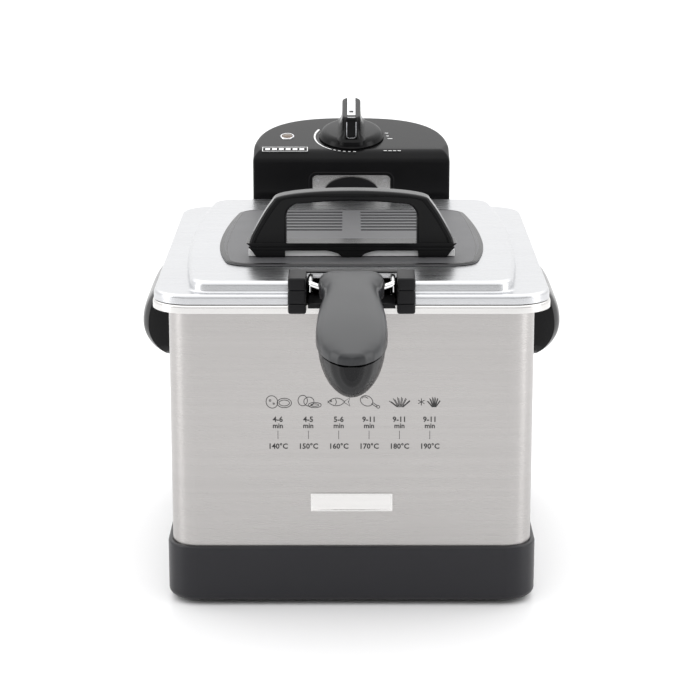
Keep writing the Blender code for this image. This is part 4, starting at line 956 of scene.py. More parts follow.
    def sign_frozen(self) -> list[list[Flat]]:
        """Draw a snow star beside a heap of sticks."""
        star = []
        for index in range(3):
            a = radians(30.0 + 60.0 * index)
            across, rise = 0.0020 * cos(a), 0.0020 * sin(a)
            star.append([(-0.0048 - across, -rise), (-0.0048 + across, rise)])
        heap = [[(0.0020 + 0.62 * a, b) for a, b in line] for line in self.sign_sticks()]
        return star + heap

    def build_badge(self) -> None:
        """Emboss a blank plate low on the front."""
        outer = Form().block((-0.0256, -0.0007, 0.0616), (0.0256, 0.0004, 0.0736))
        outer.soften(0.0004, 2)
        recess = Form().block((-0.0246, -0.0020, 0.0626), (0.0246, -0.00030, 0.0726)).soften(0.00025, 1)
        outer.carve([recess])
        outer.cast("badge_blank", STEEL_BADGE, self.body)


# ---- oil tank --------------------------------------------------------------------------------
@dataclass
class OilTank:
    """Drawn steel tank that hangs in the housing by its rolled rim."""

    half_width: float = 0.1015
    front: float = 0.0140
    rear: float = 0.2650
    floor: float = 0.0600
    rim_half_width: float = 0.1225
    rim_front: float = -0.0090
    rim_rear: float = 0.2875
    rim_bottom: float = 0.1903
    rim_top: float = 0.1955
    sheet: float = 0.0009
    body: str = "oil_tank"

    def wall(self, inset: float, z: float, corner: float = 0.0300) -> list[Vector]:
        """Lay out a ring of the tank's wall, inset from its outside."""
        return rounded(self.half_width - inset, self.front + inset, self.rear - inset, corner, z, steps=18)

    def rim(self, inset: float, z: float) -> list[Vector]:
        """Lay out a ring of the rim, inset from its outside."""
        return rounded(self.rim_half_width - inset, self.rim_front + inset, self.rim_rear - inset,
                       0.0240 - inset, z, steps=18)

    def build(self) -> None:
        """Draw the tank, roll its rim and mark its oil levels."""
        s = self.sheet
        z = self.floor
        top = self.rim_top
        inside = [self.wall(0.0230, z + s, 0.0140), self.wall(0.0150 + s, z + s + 0.0004, 0.0190),
                  self.wall(0.0080 + s, z + s + 0.0026, 0.0230), self.wall(0.0030 + s, z + s + 0.0075,
                                                                           0.0270),
                  self.wall(0.0008 + s, z + s + 0.0140, 0.0290), self.wall(s, 0.0900),
                  self.wall(s, top - 0.0024),
                  self.wall(s - 0.0004, top - 0.0011), self.wall(s - 0.0013, top - 0.0003),
                  self.wall(s - 0.0026, top)]
        roll = [self.rim(0.0018 * (1.0 - sin(a)), top - 0.0018 * (1.0 - cos(a)))
                for a in (0.0, 0.35, 0.7, 1.05, 1.35, pi / 2.0)]
        under = [self.rim(0.0, self.rim_bottom), self.rim(s, self.rim_bottom), self.rim(s, top - s - 0.0009),
                 self.rim(s + 0.0010, top - s), self.wall(-0.0012, top - s, 0.0312),
                 self.wall(0.0, top - s - 0.0012), self.wall(0.0, 0.0900), self.wall(0.0010, z + 0.0135,
                                                                                     0.0290),
                 self.wall(0.0060, z + 0.0034, 0.0240), self.wall(0.0150, z, 0.0170)]
        Form().loft(inside + roll + under).cast("oil_tank_drawn", STEEL_TANK, self.body, "oil_tank")
        marks = Form()
        for z_mark in (0.1180, 0.1480):
            for end, high in ((-0.0480, 0.0008), (-0.0692, 0.0040)):
                marks.block((-0.0700, self.rear - s - 0.0004, z_mark),
                            (end, self.rear - s + 0.0002, z_mark + high))
        marks.soften(0.00015, 1).cast("oil_level_marks", STEEL_SHEET, self.body)
        refine("rim_guard", SATIN_BLACK, self.body, 0.0003)


# ---- lid -------------------------------------------------------------------------------------
@dataclass
class Lid:
    """Pressed steel lid with a black vented plate, a bridge handle and a moulded notch trim."""

    half_width: float = 0.1218
    front: float = -0.0080
    rear: float = 0.2865
    bottom: float = 0.1958
    step: float = 0.2018
    top: float = 0.2088
    panel_half_width: float = 0.0985
    panel_bow: float = 0.0085
    panel_front: float = -0.0030
    panel_rear: float = 0.2785
    plate_half_width: float = 0.0768
    plate_bow: float = 0.0094
    plate_front: float = 0.0428
    plate_rear: float = 0.2278
    plate_top: float = 0.2103
    sheet: float = 0.0009
    body: str = "lid"

    def build(self) -> None:
        """Build and dress every piece of the lid."""
        self.build_pressing()
        self.build_plate()
        self.build_trim()
        refine("filter_cover", STEEL_SHEET, self.body, 0.0003)
        refine("filter_pad", FILTER_MAT, self.body, 0.0004)
        dress(STEEL_POLISHED, "lid_handle_screw_1", "lid_handle_screw_2")
        LidHandle().build()

    def flange(self, inset: float, z: float) -> list[Vector]:
        """Lay out a ring of the lid's outer flange."""
        return rounded(self.half_width - inset, self.front + inset, self.rear - inset, 0.0230 - inset, z,
                       steps=18, side_steps=24)

    def panel(self, inset: float, z: float) -> list[Vector]:
        """Lay out a ring of the raised panel, whose long sides bow outwards."""
        middle = (self.panel_front + self.panel_rear) / 2.0
        reach = (self.panel_rear - self.panel_front) / 2.0 - inset
        flat = rounded(self.panel_half_width - inset, self.panel_front + inset, self.panel_rear - inset,
                       0.0125 - min(inset, 0.0050) * 0.5, z, steps=18, side_steps=24)
        for point in flat:
            share = (point.y - middle) / reach
            point.x *= 1.0 + (1.0 - share * share) * self.panel_bow / self.panel_half_width
        return flat

    def build_pressing(self) -> None:
        """Press the lid, then cut its notches and its vent opening."""
        s = self.sheet
        crown = [self.panel(0.0008 + 0.0032 * (1.0 - sin(a)), self.top - 0.0026 * (1.0 - cos(a)))
                 for a in (0.0, 0.3, 0.6, 0.9, 1.2, pi / 2.0)]
        foot = [self.panel(0.0006 - 0.0016 * (1.0 - cos(a)), self.step + 0.0016 * (1.0 - sin(a)))
                for a in (0.0, 0.4, 0.8, 1.2, pi / 2.0)]
        edge = [self.flange(0.0024 * (1.0 - sin(a)), self.step - 0.0024 * (1.0 - cos(a)))
                for a in (0.0, 0.3, 0.6, 0.9, 1.2, pi / 2.0)]
        under = [self.flange(0.0, self.bottom), self.flange(s, self.bottom), self.flange(s,
                                                                                         self.step - 0.0026),
                 self.flange(0.0028, self.step - s), self.panel(-0.0004, self.step - s),
                 self.panel(0.0015, self.step + 0.0012), self.panel(0.0028, self.top - 0.0030),
                 self.panel(0.0054, self.top - s)]
        form = Form().loft([self.panel(0.0100, self.top), *crown, *foot, *edge, *under])
        cuts = [Form().block((-0.0388, self.front - 0.01, 0.19), (0.0388, 0.0128, 0.22)),
                Form().block((-0.0330, 0.2600, 0.19), (0.0330, self.rear + 0.01, self.top - 0.0020)),
                Form().block((-0.0495, 0.1480, 0.20), (0.0495, 0.2190, 0.22))]
        form.carve(cuts)
        # The lid's steel carries painted light: its colour is set lighter than the wrap's, for the lid top's
        # brighter look.
        form.cast("lid_pressing", STEEL_LID_PAINTED_LIGHT, self.body, "lid_panel", angle=40.0)

    def plate_ring(self, inset: float, z: float) -> list[Vector]:
        """Lay out a ring of the black plate."""
        widest = self.plate_front + 0.4 * (self.plate_rear - self.plate_front)
        flat = rounded(self.plate_half_width - inset, self.plate_front + inset, self.plate_rear - inset,
                       0.0120 - min(inset, 0.006), z, steps=14, side_steps=28)
        for point in flat:
            end = self.plate_rear if point.y > widest else self.plate_front
            share = (point.y - widest) / (end - widest)
            point.x *= 1.0 + (1.0 - share * share) * self.plate_bow / self.plate_half_width
        return flat

    def build_plate(self) -> None:
        """Mould the plate with its sloping border and its steam slots."""
        low = self.top + 0.0003
        border = [self.plate_ring(0.0030, self.plate_top), self.plate_ring(0.0027, self.plate_top - 0.00005),
                  self.plate_ring(0.0024, self.plate_top - 0.0002), self.plate_ring(0.0004, low + 0.0006),
                  self.plate_ring(0.0, low + 0.0003), self.plate_ring(0.0, low), self.plate_ring(0.0060, low)]
        form = Form().loft([self.plate_ring(0.0080, self.plate_top), *border])
        slots = []
        for row in range(7):
            y = 0.1505 + row * 0.0106
            for start, end in ((-0.0480, -0.0062), (0.0062, 0.0480)):
                slots.append(Form().block((start, y, 0.20), (end, y + 0.0044, 0.22)).soften(
                    0.0008, 3, where=lambda edge: abs(edge.verts[0].co.z - edge.verts[1].co.z) > 0.01))
        form.carve(slots)
        # The plate's grey base colour is a painted reflection on black gloss plastic.
        form.cast("vent_plate_moulding", PLATE_PAINTED_SHEEN, self.body, "vent_plate", angle=12.0)
        lip = 0.00006
        rings = [self.plate_ring(0.0006, low + 0.0008), self.plate_ring(0.0004, low + 0.0008 + lip),
                 self.waisted(self.plate_top + lip), self.waisted(self.plate_top - 0.0002)]
        Form().loft(rings, wrap=True).cast("vent_plate_border", GLOSS_BLACK, self.body, angle=12.0)

    def waisted(self, z: float) -> list[Vector]:
        """Lay out the border's inner line, which draws in along the plate's bowed sides."""
        middle = (self.plate_front + self.plate_rear) / 2.0
        reach = (self.plate_rear - self.plate_front) / 2.0
        line = self.plate_ring(0.0021, z)
        for point in line:
            share = min(abs(point.y - middle) / reach, 1.0)
            point.x -= (0.0032 if point.x > 0.0 else -0.0032) * (1.0 - share ** 2.0)
        return line

    def build_trim(self) -> None:
        """Mould the guard round the notch: two ribbed cheeks and a bridge behind them."""
        form = Form()
        for side in (-1.0, 1.0):
            near, far = sorted((side * 0.0275, side * 0.0385))
            for low, high in ((0.1914, 0.1976), (0.1974, 0.2060), (0.2058, 0.2136)):
                front_block = Form().block((near, -0.0150, low), (far, -0.0094, high)).soften(0.0014, 4)
                form.gather(front_block)
                if low > 0.1957:
                    cheek = Form().block((near, -0.0110, low), (far, 0.0125, high))
                    form.gather(cheek.soften(0.0008, 3))
        bridge = Form().block((-0.0330, 0.0052, 0.2124), (0.0330, 0.0121, 0.21352)).soften(0.0004, 3)
        form.gather(bridge).cast("notch_trim_moulding", SATIN_BLACK, self.body, "notch_trim")


@dataclass
class LidHandle:
    """Bridge handle: an arch on a two-part bar, its feet, a boss and a polished steel strip, which is painted
    bright white plastic as a painted reflection.
    """

    front: float = 0.0614
    depth: float = 0.0170
    bar_top: float = 0.2197
    bar_bottom: float = 0.2147
    floor: float = 0.2106
    body: str = "lid"

    def arch(self) -> tuple[list[Flat], list[Flat]]:
        """Lay out the arch's outer and inner lines, in equal steps from foot to foot."""
        crown = [(0.0492 * cos(pi * step / 24), 0.2472 + 0.0058 * sin(pi * step / 24)) for step in range(25)]
        leg = [(0.0652, self.bar_top - 0.0006), (0.0640, 0.2232), (0.0606, 0.2296), (0.0545, 0.2402)]
        outside = softened(leg + crown + [(-x, z) for x, z in reversed(leg)], 2)
        corner = [(0.0325 + 0.0088 * cos(pi * step / 24), 0.2366 + 0.0082 * sin(pi * step / 24))
                  for step in range(13)]
        half = [(0.0413, self.bar_top - 0.0006)] + corner + [(0.0170, 0.2459)]
        inside = half + [(0.0, 0.2464)] + [(-x, z) for x, z in reversed(half)]
        return evenly(outside, 120), evenly(inside, 120)

    def section(self, outer: Flat, inner: Flat, near: float, rear: float) -> list[Vector]:
        """Lay out the arch's rounded section between its inner and outer lines, with a front groove."""
        start, end = Vector((inner[0], 0.0, inner[1])), Vector((outer[0], 0.0, outer[1]))
        thick = (end - start).length
        out = (end - start).normalized()
        soft, tight = 0.0027, 0.0014
        trace = [(thick - soft + soft * sin(a), near + soft - soft * cos(a))
                 for a in (pi * step / 12.0 for step in range(7))]
        trace += [(thick - soft + soft * cos(a), rear - soft + soft * sin(a))
                  for a in (pi * step / 12.0 for step in range(7))]
        trace += [(tight - tight * sin(a), rear - tight + tight * cos(a))
                  for a in (pi * step / 8.0 for step in range(5))]
        trace += [(tight - tight * cos(a), near + tight - tight * sin(a))
                  for a in (pi * step / 8.0 for step in range(5))]
        groove = thick - soft - 0.0004
        trace += [(groove - 0.0010, near), (groove - 0.0007, near + 0.0004), (groove - 0.0003, near + 0.0004),
                  (groove, near)]
        return [start + out * reach + Vector((0.0, y, 0.0)) for reach, y in trace]

    def build(self) -> None:
        """Build the handle."""
        rear = self.front + self.depth
        near = self.front + 0.0013
        outside, inside = self.arch()
        form = Form().loft([self.section(outer, inner, near, rear) for outer, inner in zip(outside, inside)])
        self.add_bar(form, rear)
        self.add_feet(form)
        form.cast("lid_handle_moulding", GLOSS_BLACK, self.body, "lid_handle")
        # The strip is painted bright white: a painted reflection of polished steel.
        strip = Form().block((-0.0655, self.front + 0.0038, self.floor), (0.0655, rear - 0.0012, 0.2144))
        strip.soften(0.0003, 2).cast("handle_strip_painted_reflection", STRIP_PAINTED_REFLECTION, self.body, "handle_strip")

    def add_bar(self, form: Form, rear: float) -> None:
        """Add the bar: an upper flange and a slightly shorter lower one."""
        upper = Form()
        ends = [(0.0640, 0.2173), (0.0668, self.bar_top - 0.0002), (0.0664, self.bar_top)]
        upper.prism([(-x, z) for x, z in reversed(ends)] + ends, Axis.Y, self.front, rear - 0.0010)
        lower = Form()
        ends = [(0.0632, self.bar_bottom), (0.0650, self.bar_bottom + 0.0014), (0.0655, 0.2171)]
        lower.prism([(-x, z) for x, z in reversed(ends)] + ends, Axis.Y, self.front + 0.0004, rear - 0.0014)
        for part in (upper, lower):
            part.soften(0.0005, 3, 20.0)
            form.gather(part)

    def add_feet(self, form: Form) -> None:
        """Add the feet and the middle boss that stand on the plate."""
        back = self.front + 0.0034
        for side in (-1.0, 1.0):
            foot = Form()
            foot.prism([(side * 0.0640, self.bar_bottom + 0.0008), (side * 0.0605, self.floor),
                        (side * 0.0422, self.floor), (side * 0.0422, self.bar_bottom + 0.0008)],
                       Axis.Y, self.front + 0.0006, back)
            form.gather(foot.soften(0.0004, 2))
        flank = [(0.0190, self.bar_bottom + 0.0005), (0.0125, self.bar_bottom - 0.0006),
                 (0.0083, self.bar_bottom - 0.0020), (0.0060, self.floor)]
        boss = Form()
        boss.prism(flank + [(-x, z) for x, z in reversed(flank)], Axis.Y, self.front + 0.0006, back)
        form.gather(boss.soften(0.0003, 2))


# ---- control head ----------------------------------------------------------------------------
@dataclass
class ControlHead:
    """Hang-on head with the thermostat, and the heating element that reaches into the tank."""

    front: float = 0.2945
    half_width: float = 0.0720
    depth: float = 0.0635
    power: float = 2.7
    bottom: float = 0.1000
    seam: float = 0.1994
    front_top: float = 0.2397
    slope: float = radians(15.0)
    edge: float = 0.0075
    wall: float = 0.0025
    knob_y: float = 0.3225
    rear_most: float = 0.3660
    lamp_x: float = -0.0475
    body: str = "control_head"

    def panel_place(self) -> Matrix:
        """Return the place of the sloped panel at the knob's axis."""
        height = self.front_top + (self.knob_y - self.front) * tan(self.slope)
        return Matrix.Translation((0.0, self.knob_y, height)) @ Matrix.Rotation(self.slope, 4, "X")

    def outline(self, inset: float) -> list[Flat]:
        """Lay out the head in plan, with softly rounded front corners."""
        half = self.half_width - inset
        depth = self.depth - 2.0 * inset
        near = self.front + inset
        corner = max(0.0016 - 0.2 * inset, 0.0004)
        points: list[Flat] = []
        for step in range(5):
            angle = -pi / 2.0 + step * pi / 8.0
            points.append((half - corner + corner * cos(angle), near + corner + corner * sin(angle)))
        for step in range(1, 72):
            angle = 0.060 + (pi - 0.120) * step / 72
            across, along = cos(angle), sin(angle)
            sign = 1.0 if across >= 0.0 else -1.0
            points.append((half * abs(across) ** (2.0 / self.power) * sign,
                           near + depth * along ** (2.0 / self.power)))
        points += [(-x, y) for x, y in reversed(points[:5])]
        return points

    def level(self, inset: float, z: float) -> list[Vector]:
        """Lay out a level ring."""
        return [Vector((x, y, z)) for x, y in self.outline(inset)]

    def sloped(self, inset: float, drop: float) -> list[Vector]:
        """Lay out a ring that follows the panel, dropped below it."""
        return [Vector((x, y, self.front_top + (y - self.front) * tan(self.slope) - drop))
                for x, y in self.outline(inset)]

    def turned(self, angle: float) -> list[Vector]:
        """Lay out a ring of the top edge's rounding, broad at the front and tight at the back."""
        ring = []
        tight = 0.0028
        for wide_point, tight_point in zip(self.outline(self.edge * (1.0 - sin(angle))),
                                           self.outline(tight * (1.0 - sin(angle)))):
            share = min(max((tight_point[1] - self.front - 0.0020) / 0.0120, 0.0), 1.0)
            x, y = Vector(wide_point).lerp(Vector(tight_point), share)
            radius = self.edge + (tight - self.edge) * share
            ring.append(Vector((x, y, self.front_top + (y - self.front) * tan(self.slope)
                                - radius * (1.0 - cos(angle)))))
        return ring

    def build(self) -> None:
        """Build and dress every piece of the head."""
        self.build_casing()
        self.build_lower_cover()
        self.build_dial_print()
        self.build_element()
        self.build_lamp_and_gland()
        refine("element_bracket", STEEL_SHEET, self.body, 0.0002)
        refine("guide_tongue", SATIN_BLACK, self.body, 0.0004)
        dress(STEEL_POLISHED, "tongue_screw_1", "tongue_screw_2")
        dress(BAKELITE, "thermostat_body", "thermal_cutout", "terminal_block", "interlock_switch")
        dress(COPPER, "thermostat_bulb", "limiter_bulb")

    def build_casing(self) -> None:
        """Mould the upper casing and cut the bracket's recess in its front."""
        turn = [self.turned(a) for a in (0.0, 0.2, 0.4, 0.6, 0.8, 1.0, 1.2, 1.4, pi / 2.0)]
        rings = [self.sloped(self.edge * 1.6, 0.0), *turn, self.level(0.0, self.seam + 0.0006),
                 self.level(0.0004, self.seam + 0.0002), self.level(self.wall, self.seam + 0.0002),
                 self.sloped(self.wall, self.edge + 0.0010), self.sloped(self.edge, self.wall)]
        form = Form().loft(rings)
        recess = Form().block((-0.0288, self.front - 0.0100, 0.1800), (0.0288, self.front + 0.0100, 0.2230))
        recess.soften(0.0040, 6, where=lambda edge: min(v.co.z for v in edge.verts) > 0.22
                      and abs(edge.verts[0].co.y - edge.verts[1].co.y) > 0.01)
        place = self.panel_place()
        shaft = Form().rod((0.0, 0.0, -0.012), Axis.Z, 0.024, 0.0040).moved(place)
        lamp = Form().rod((self.lamp_x, 0.0, -0.010), Axis.Z, 0.020, 0.0041).moved(place)
        form.carve([recess, shaft, lamp])
        form.cast("head_casing_moulding", GLOSS_BLACK, self.body, "head_casing")
        path = filleted([(-0.0310, self.front, 0.2000), (-0.0310, self.front, 0.2250),
                         (0.0310, self.front, 0.2250), (0.0310, self.front, 0.2000)], 0.0052, 8)
        Form().wires([path], 0.00045, 2).cast("recess_beading", SATIN_BLACK, self.body)
        # A dark arch-topped plate laid just behind the front over the bracket's face, where a dark arch shows
        # on it.
        hood = [(0.0200 * cos(pi * step / 32), 0.2100 + 0.0112 * sin(pi * step / 32)) for step in range(33)]
        cover = Form()
        cover.prism([(0.0200, 0.2002), *hood, (-0.0200, 0.2002)], Axis.Y, self.front + 0.0012,
                    self.front + 0.0040)
        cover.soften(0.0006, 3).cast("recess_dark_arch", SATIN_BLACK, self.body)
        for side in (-1.0, 1.0):
            screw = Form().rod((side * 0.0248, self.front + 0.0026, 0.2190), Axis.Y, 0.0022, 0.0018, 24)
            screw.soften(0.0003, 2).cast(f"bracket_screw_{'left' if side < 0.0 else 'right'}", STEEL_POLISHED,
                                         self.body)

    def build_lower_cover(self) -> None:
        """Mould the lower cover, with cooling slots low on its back."""
        foot = [self.level(0.0022 * (1.0 - sin(a)), self.bottom + 0.0022 * (1.0 - cos(a)))
                for a in (0.0, 0.4, 0.8, 1.2, pi / 2.0)]
        top = self.seam - 0.0002
        rings = [*foot, self.level(0.0, top - 0.0004), self.level(0.0004, top), self.level(self.wall, top),
                 self.level(self.wall, self.bottom + self.wall)]
        form = Form().loft(rings)
        cuts = [Form().block((-0.0306, self.front - 0.01, 0.1952), (0.0306, self.front + 0.0100, 0.2100)),
                Form().rod((0.0, self.rear_most - 0.0180, 0.1240), Axis.Y, 0.020, 0.0062),
                Form().rod((0.0, self.rear_most - 0.0180, 0.1620), Axis.Y, 0.020, 0.0044)]
        for side in (-1.0, 1.0):
            for row in range(5):
                x, y, z = side * 0.0270, self.front + self.depth, 0.1130 + row * 0.0050
                slot = Form().block((x - 0.0110, y - 0.0120, z), (x + 0.0110, y + 0.0040, z + 0.0024))
                cuts.append(slot.soften(0.0009, 2))
        form.carve(cuts)
        form.cast("head_lower_moulding", SATIN_BLACK, self.body, "head_lower_cover")
        guard = Form().revolve([(0.0048, 0.0), (0.0048, 0.0022), (0.0056, 0.0028), (0.0070, 0.0022),
                                (0.0078, 0.0), (0.0048, 0.0)], 40)
        turn = (Matrix.Translation((0.0, self.front + self.depth - 0.0004, 0.1620))
                @ Matrix.Rotation(-pi / 2.0, 4, "X"))
        guard.moved(turn).cast("reset_guard_ring", SATIN_BLACK, self.body)

    def build_dial_print(self) -> None:
        """Print the dial's tapering scale, its dashes and plain marks, and a blank name strip."""
        film = Form()
        radius = 0.0272
        for start, end, wide, narrow in ((152.0, 238.0, 0.00075, 0.00030), (241.0, 245.0, 0.0003, 0.0003),
                                         (249.0, 253.0, 0.0003, 0.0003), (257.0, 261.0, 0.0003, 0.0003),
                                         (265.0, 269.0, 0.0003, 0.0003), (273.0, 277.0, 0.0003, 0.0003)):
            film.gather(self.arc_band(radius, radians(start), radians(end), wide, narrow))
        for x, y, half in ((0.0262, 0.0062, 0.0012), (0.0268, 0.0010, 0.0010), (0.0286, -0.0038, 0.0018)):
            film.block((x - half, y - 0.0004, 0.0), (x + half, y + 0.0004, 0.00008))
        for index in range(4):
            film.block((0.0236 + index * 0.0034, -0.0258, 0.0), (0.0260 + index * 0.0034, -0.0251, 0.00008))
        frame_path = [Vector((x, y, 0.0)) for x, y in ((-0.0650, -0.0190), (-0.0322, -0.0190), (-0.0322,
                                                                                                -0.0262),
                                                       (-0.0650, -0.0262))]
        strip = Form().wires([frame_path], 0.00035, 1, cyclic=True).squash(Axis.Z, 0.0, 0.25)
        bars = Form()
        for index in range(6):
            x = -0.0630 + index * 0.0050
            bars.block((x, -0.0242, 0.0), (x + 0.0034, -0.0210, 0.00006))
        film.gather(strip)
        film.gather(bars)
        film.moved(self.panel_place()).cast("dial_print", INK_WHITE, self.body)
        ring = Form().revolve([(0.0043, 0.0), (0.0043, 0.0006), (0.0046, 0.0008), (0.0050, 0.0006),
                               (0.0052, 0.0),
                               (0.0043, 0.0)], 48)
        ring.moved(self.panel_place() @ Matrix.Translation((self.lamp_x, 0.0, 0.0))).cast(
            "lamp_bezel", SILVER, self.body)

    @staticmethod
    def arc_band(radius: float, start: float, end: float, wide: float, narrow: float) -> Form:
        """Make a thin flat band along an arc, tapering from wide to narrow halves."""
        steps = max(int(degrees(end - start) / 3.0), 2)
        rings = []
        for step in range(steps + 1):
            share = step / steps
            angle = start + (end - start) * share
            half = wide + (narrow - wide) * share
            inner, outer = radius - half, radius + half
            rings.append([Vector((r * cos(angle), r * sin(angle), z))
                          for r, z in ((inner, 0.0), (outer, 0.0), (outer, 0.00008), (inner, 0.00008))])
        return Form().loft(rings)

    def build_element(self) -> None:
        """Bend the heating element."""
        z, wide, inner = 0.0725, 0.0740, 0.0180
        leg_y, leg_top = 0.2485, 0.2014
        head_end = self.front + 0.0160
        half = [(inner, head_end, leg_top), (inner, leg_y, leg_top), (inner, leg_y, z), (inner, 0.0900, z),
                (0.0460, 0.0900, z), (0.0460, 0.2200, z), (wide, 0.2200, z), (wide, 0.0500, z)]
        corners = [(-x, y, height) for x, y, height in half] + list(reversed(half))
        Form().wires([filleted(corners, 0.0095, 10)], 0.0033, 4).cast(
            "heating_element_bent", SHEATH, self.body, "heating_element")

    def build_lamp_and_gland(self) -> None:
        """Mould the lamp's lens and the ribbed cord gland."""
        lens = [(0.0, 0.0012), (0.0018, 0.00112), (0.0030, 0.00085), (0.0038, 0.00045), (0.0041, 0.0003),
                (0.0038, 0.0003), (0.0038, -0.0060), (0.0, -0.0060)]
        Form().revolve(lens, 48, self.panel_place() @ Matrix.Translation((self.lamp_x, 0.0, 0.0))).cast(
            "indicator_lens_domed", AMBER, self.body, "indicator_lens")
        gland = [(0.0034, 0.0), (0.0044, 0.0), (0.0052, -0.0008), (0.0056, -0.0022), (0.0056, -0.0040),
                 (0.0084, -0.0042), (0.0090, -0.0050), (0.0090, -0.0070), (0.0084, -0.0074), (0.0058,
                                                                                              -0.0076),
                 (0.0058, -0.0165), (0.0034, -0.0165), (0.0034, 0.0)]
        place = Matrix.Translation((0.0, self.rear_most, 0.1240)) @ Matrix.Rotation(-pi / 2.0, 4, "X")
        Form().revolve(gland, 48, place).cast("cord_gland_moulding", RUBBER, self.body, "cord_gland")


@dataclass
class ThermostatKnob:
    """Round skirt with a tall fin, a silver inlay and its shaft."""

    radius: float = 0.0240
    skirt: float = 0.0062
    height: float = 0.0232
    fin_half_width: float = 0.0068
    fin_half_length: float = 0.0200
    body: str = "thermostat_knob"

    def build(self, panel: Matrix) -> None:
        """Build the knob on the panel's place.

        Args:
            panel: the place of the panel at the knob's axis.
        """
        skirt = [(0.0033, self.skirt + 0.0002), (0.0180, self.skirt - 0.0001), (0.0202, self.skirt - 0.0006),
                 (0.0216, self.skirt - 0.0015), (0.0226, self.skirt - 0.0028), (0.0234, 0.0020),
                 (self.radius, 0.0012), (self.radius, 0.0008), (0.0033, 0.0008), (0.0033,
                                                                                  self.skirt + 0.0002)]
        form = Form().revolve(skirt, 96)
        levels = [(0.0040, 0.0030), (0.0036, 0.0056), (0.0022, 0.0070), (0.0011, 0.0090), (0.0004, 0.0118),
                  (0.0, 0.0150), (0.0, self.height - 0.0014), (-0.0003, self.height - 0.0006),
                  (-0.0009, self.height - 0.0001),
                  (-0.0016, self.height)]
        rings = [rounded(self.fin_half_width + out, -self.fin_half_length - out, self.fin_half_length + out,
                         0.0052 + out * 0.5, z, steps=8) for out, z in levels]
        fin = Form().loft(rings)
        groove = Form().block((-0.0032, -0.0185, self.height - 0.0008), (0.0032, 0.0185, self.height + 0.01))
        face = Form().block((-0.0042, -self.fin_half_length - 0.002, 0.0066),
                            (0.0042, -self.fin_half_length + 0.0005, self.height - 0.0022)).soften(0.0004, 2)
        fin.carve([groove, face])
        form.gather(fin).cast("thermostat_knob_moulding", GLOSS_BLACK, self.body, "thermostat_knob",
                                   place=panel)
        inlay = Form().block((-0.0030, -0.0183, self.height - 0.0006), (0.0030, 0.0183, self.height + 0.0002))
        inlay.soften(0.0003, 2).cast("knob_inlay_silver", SILVER, self.body, "knob_inlay", place=panel)
        y, half, top = -self.fin_half_length + 0.0004, 0.0034, self.height - 0.0030
        line = [Vector((x, y, z)) for x, z in ((-half, top), (-half, 0.0084), (-half * 0.5, 0.0074),
                                               (half * 0.5, 0.0074), (half, 0.0084), (half, top))]
        Form().wires([line], 0.00028, 2).cast("knob_face_line", SILVER, self.body, place=panel)
        marks = Form()
        for y_mark, half in ((-0.0096, 0.0016), (-0.0178, 0.0030)):
            marks.block((-half, y_mark, self.height + 0.0001), (half, y_mark + 0.0036, self.height + 0.00028))
        marks.cast("knob_pointer_marks", INK_BLACK, self.body, place=panel)
        dress(STEEL_SHEET, "thermostat_shaft")


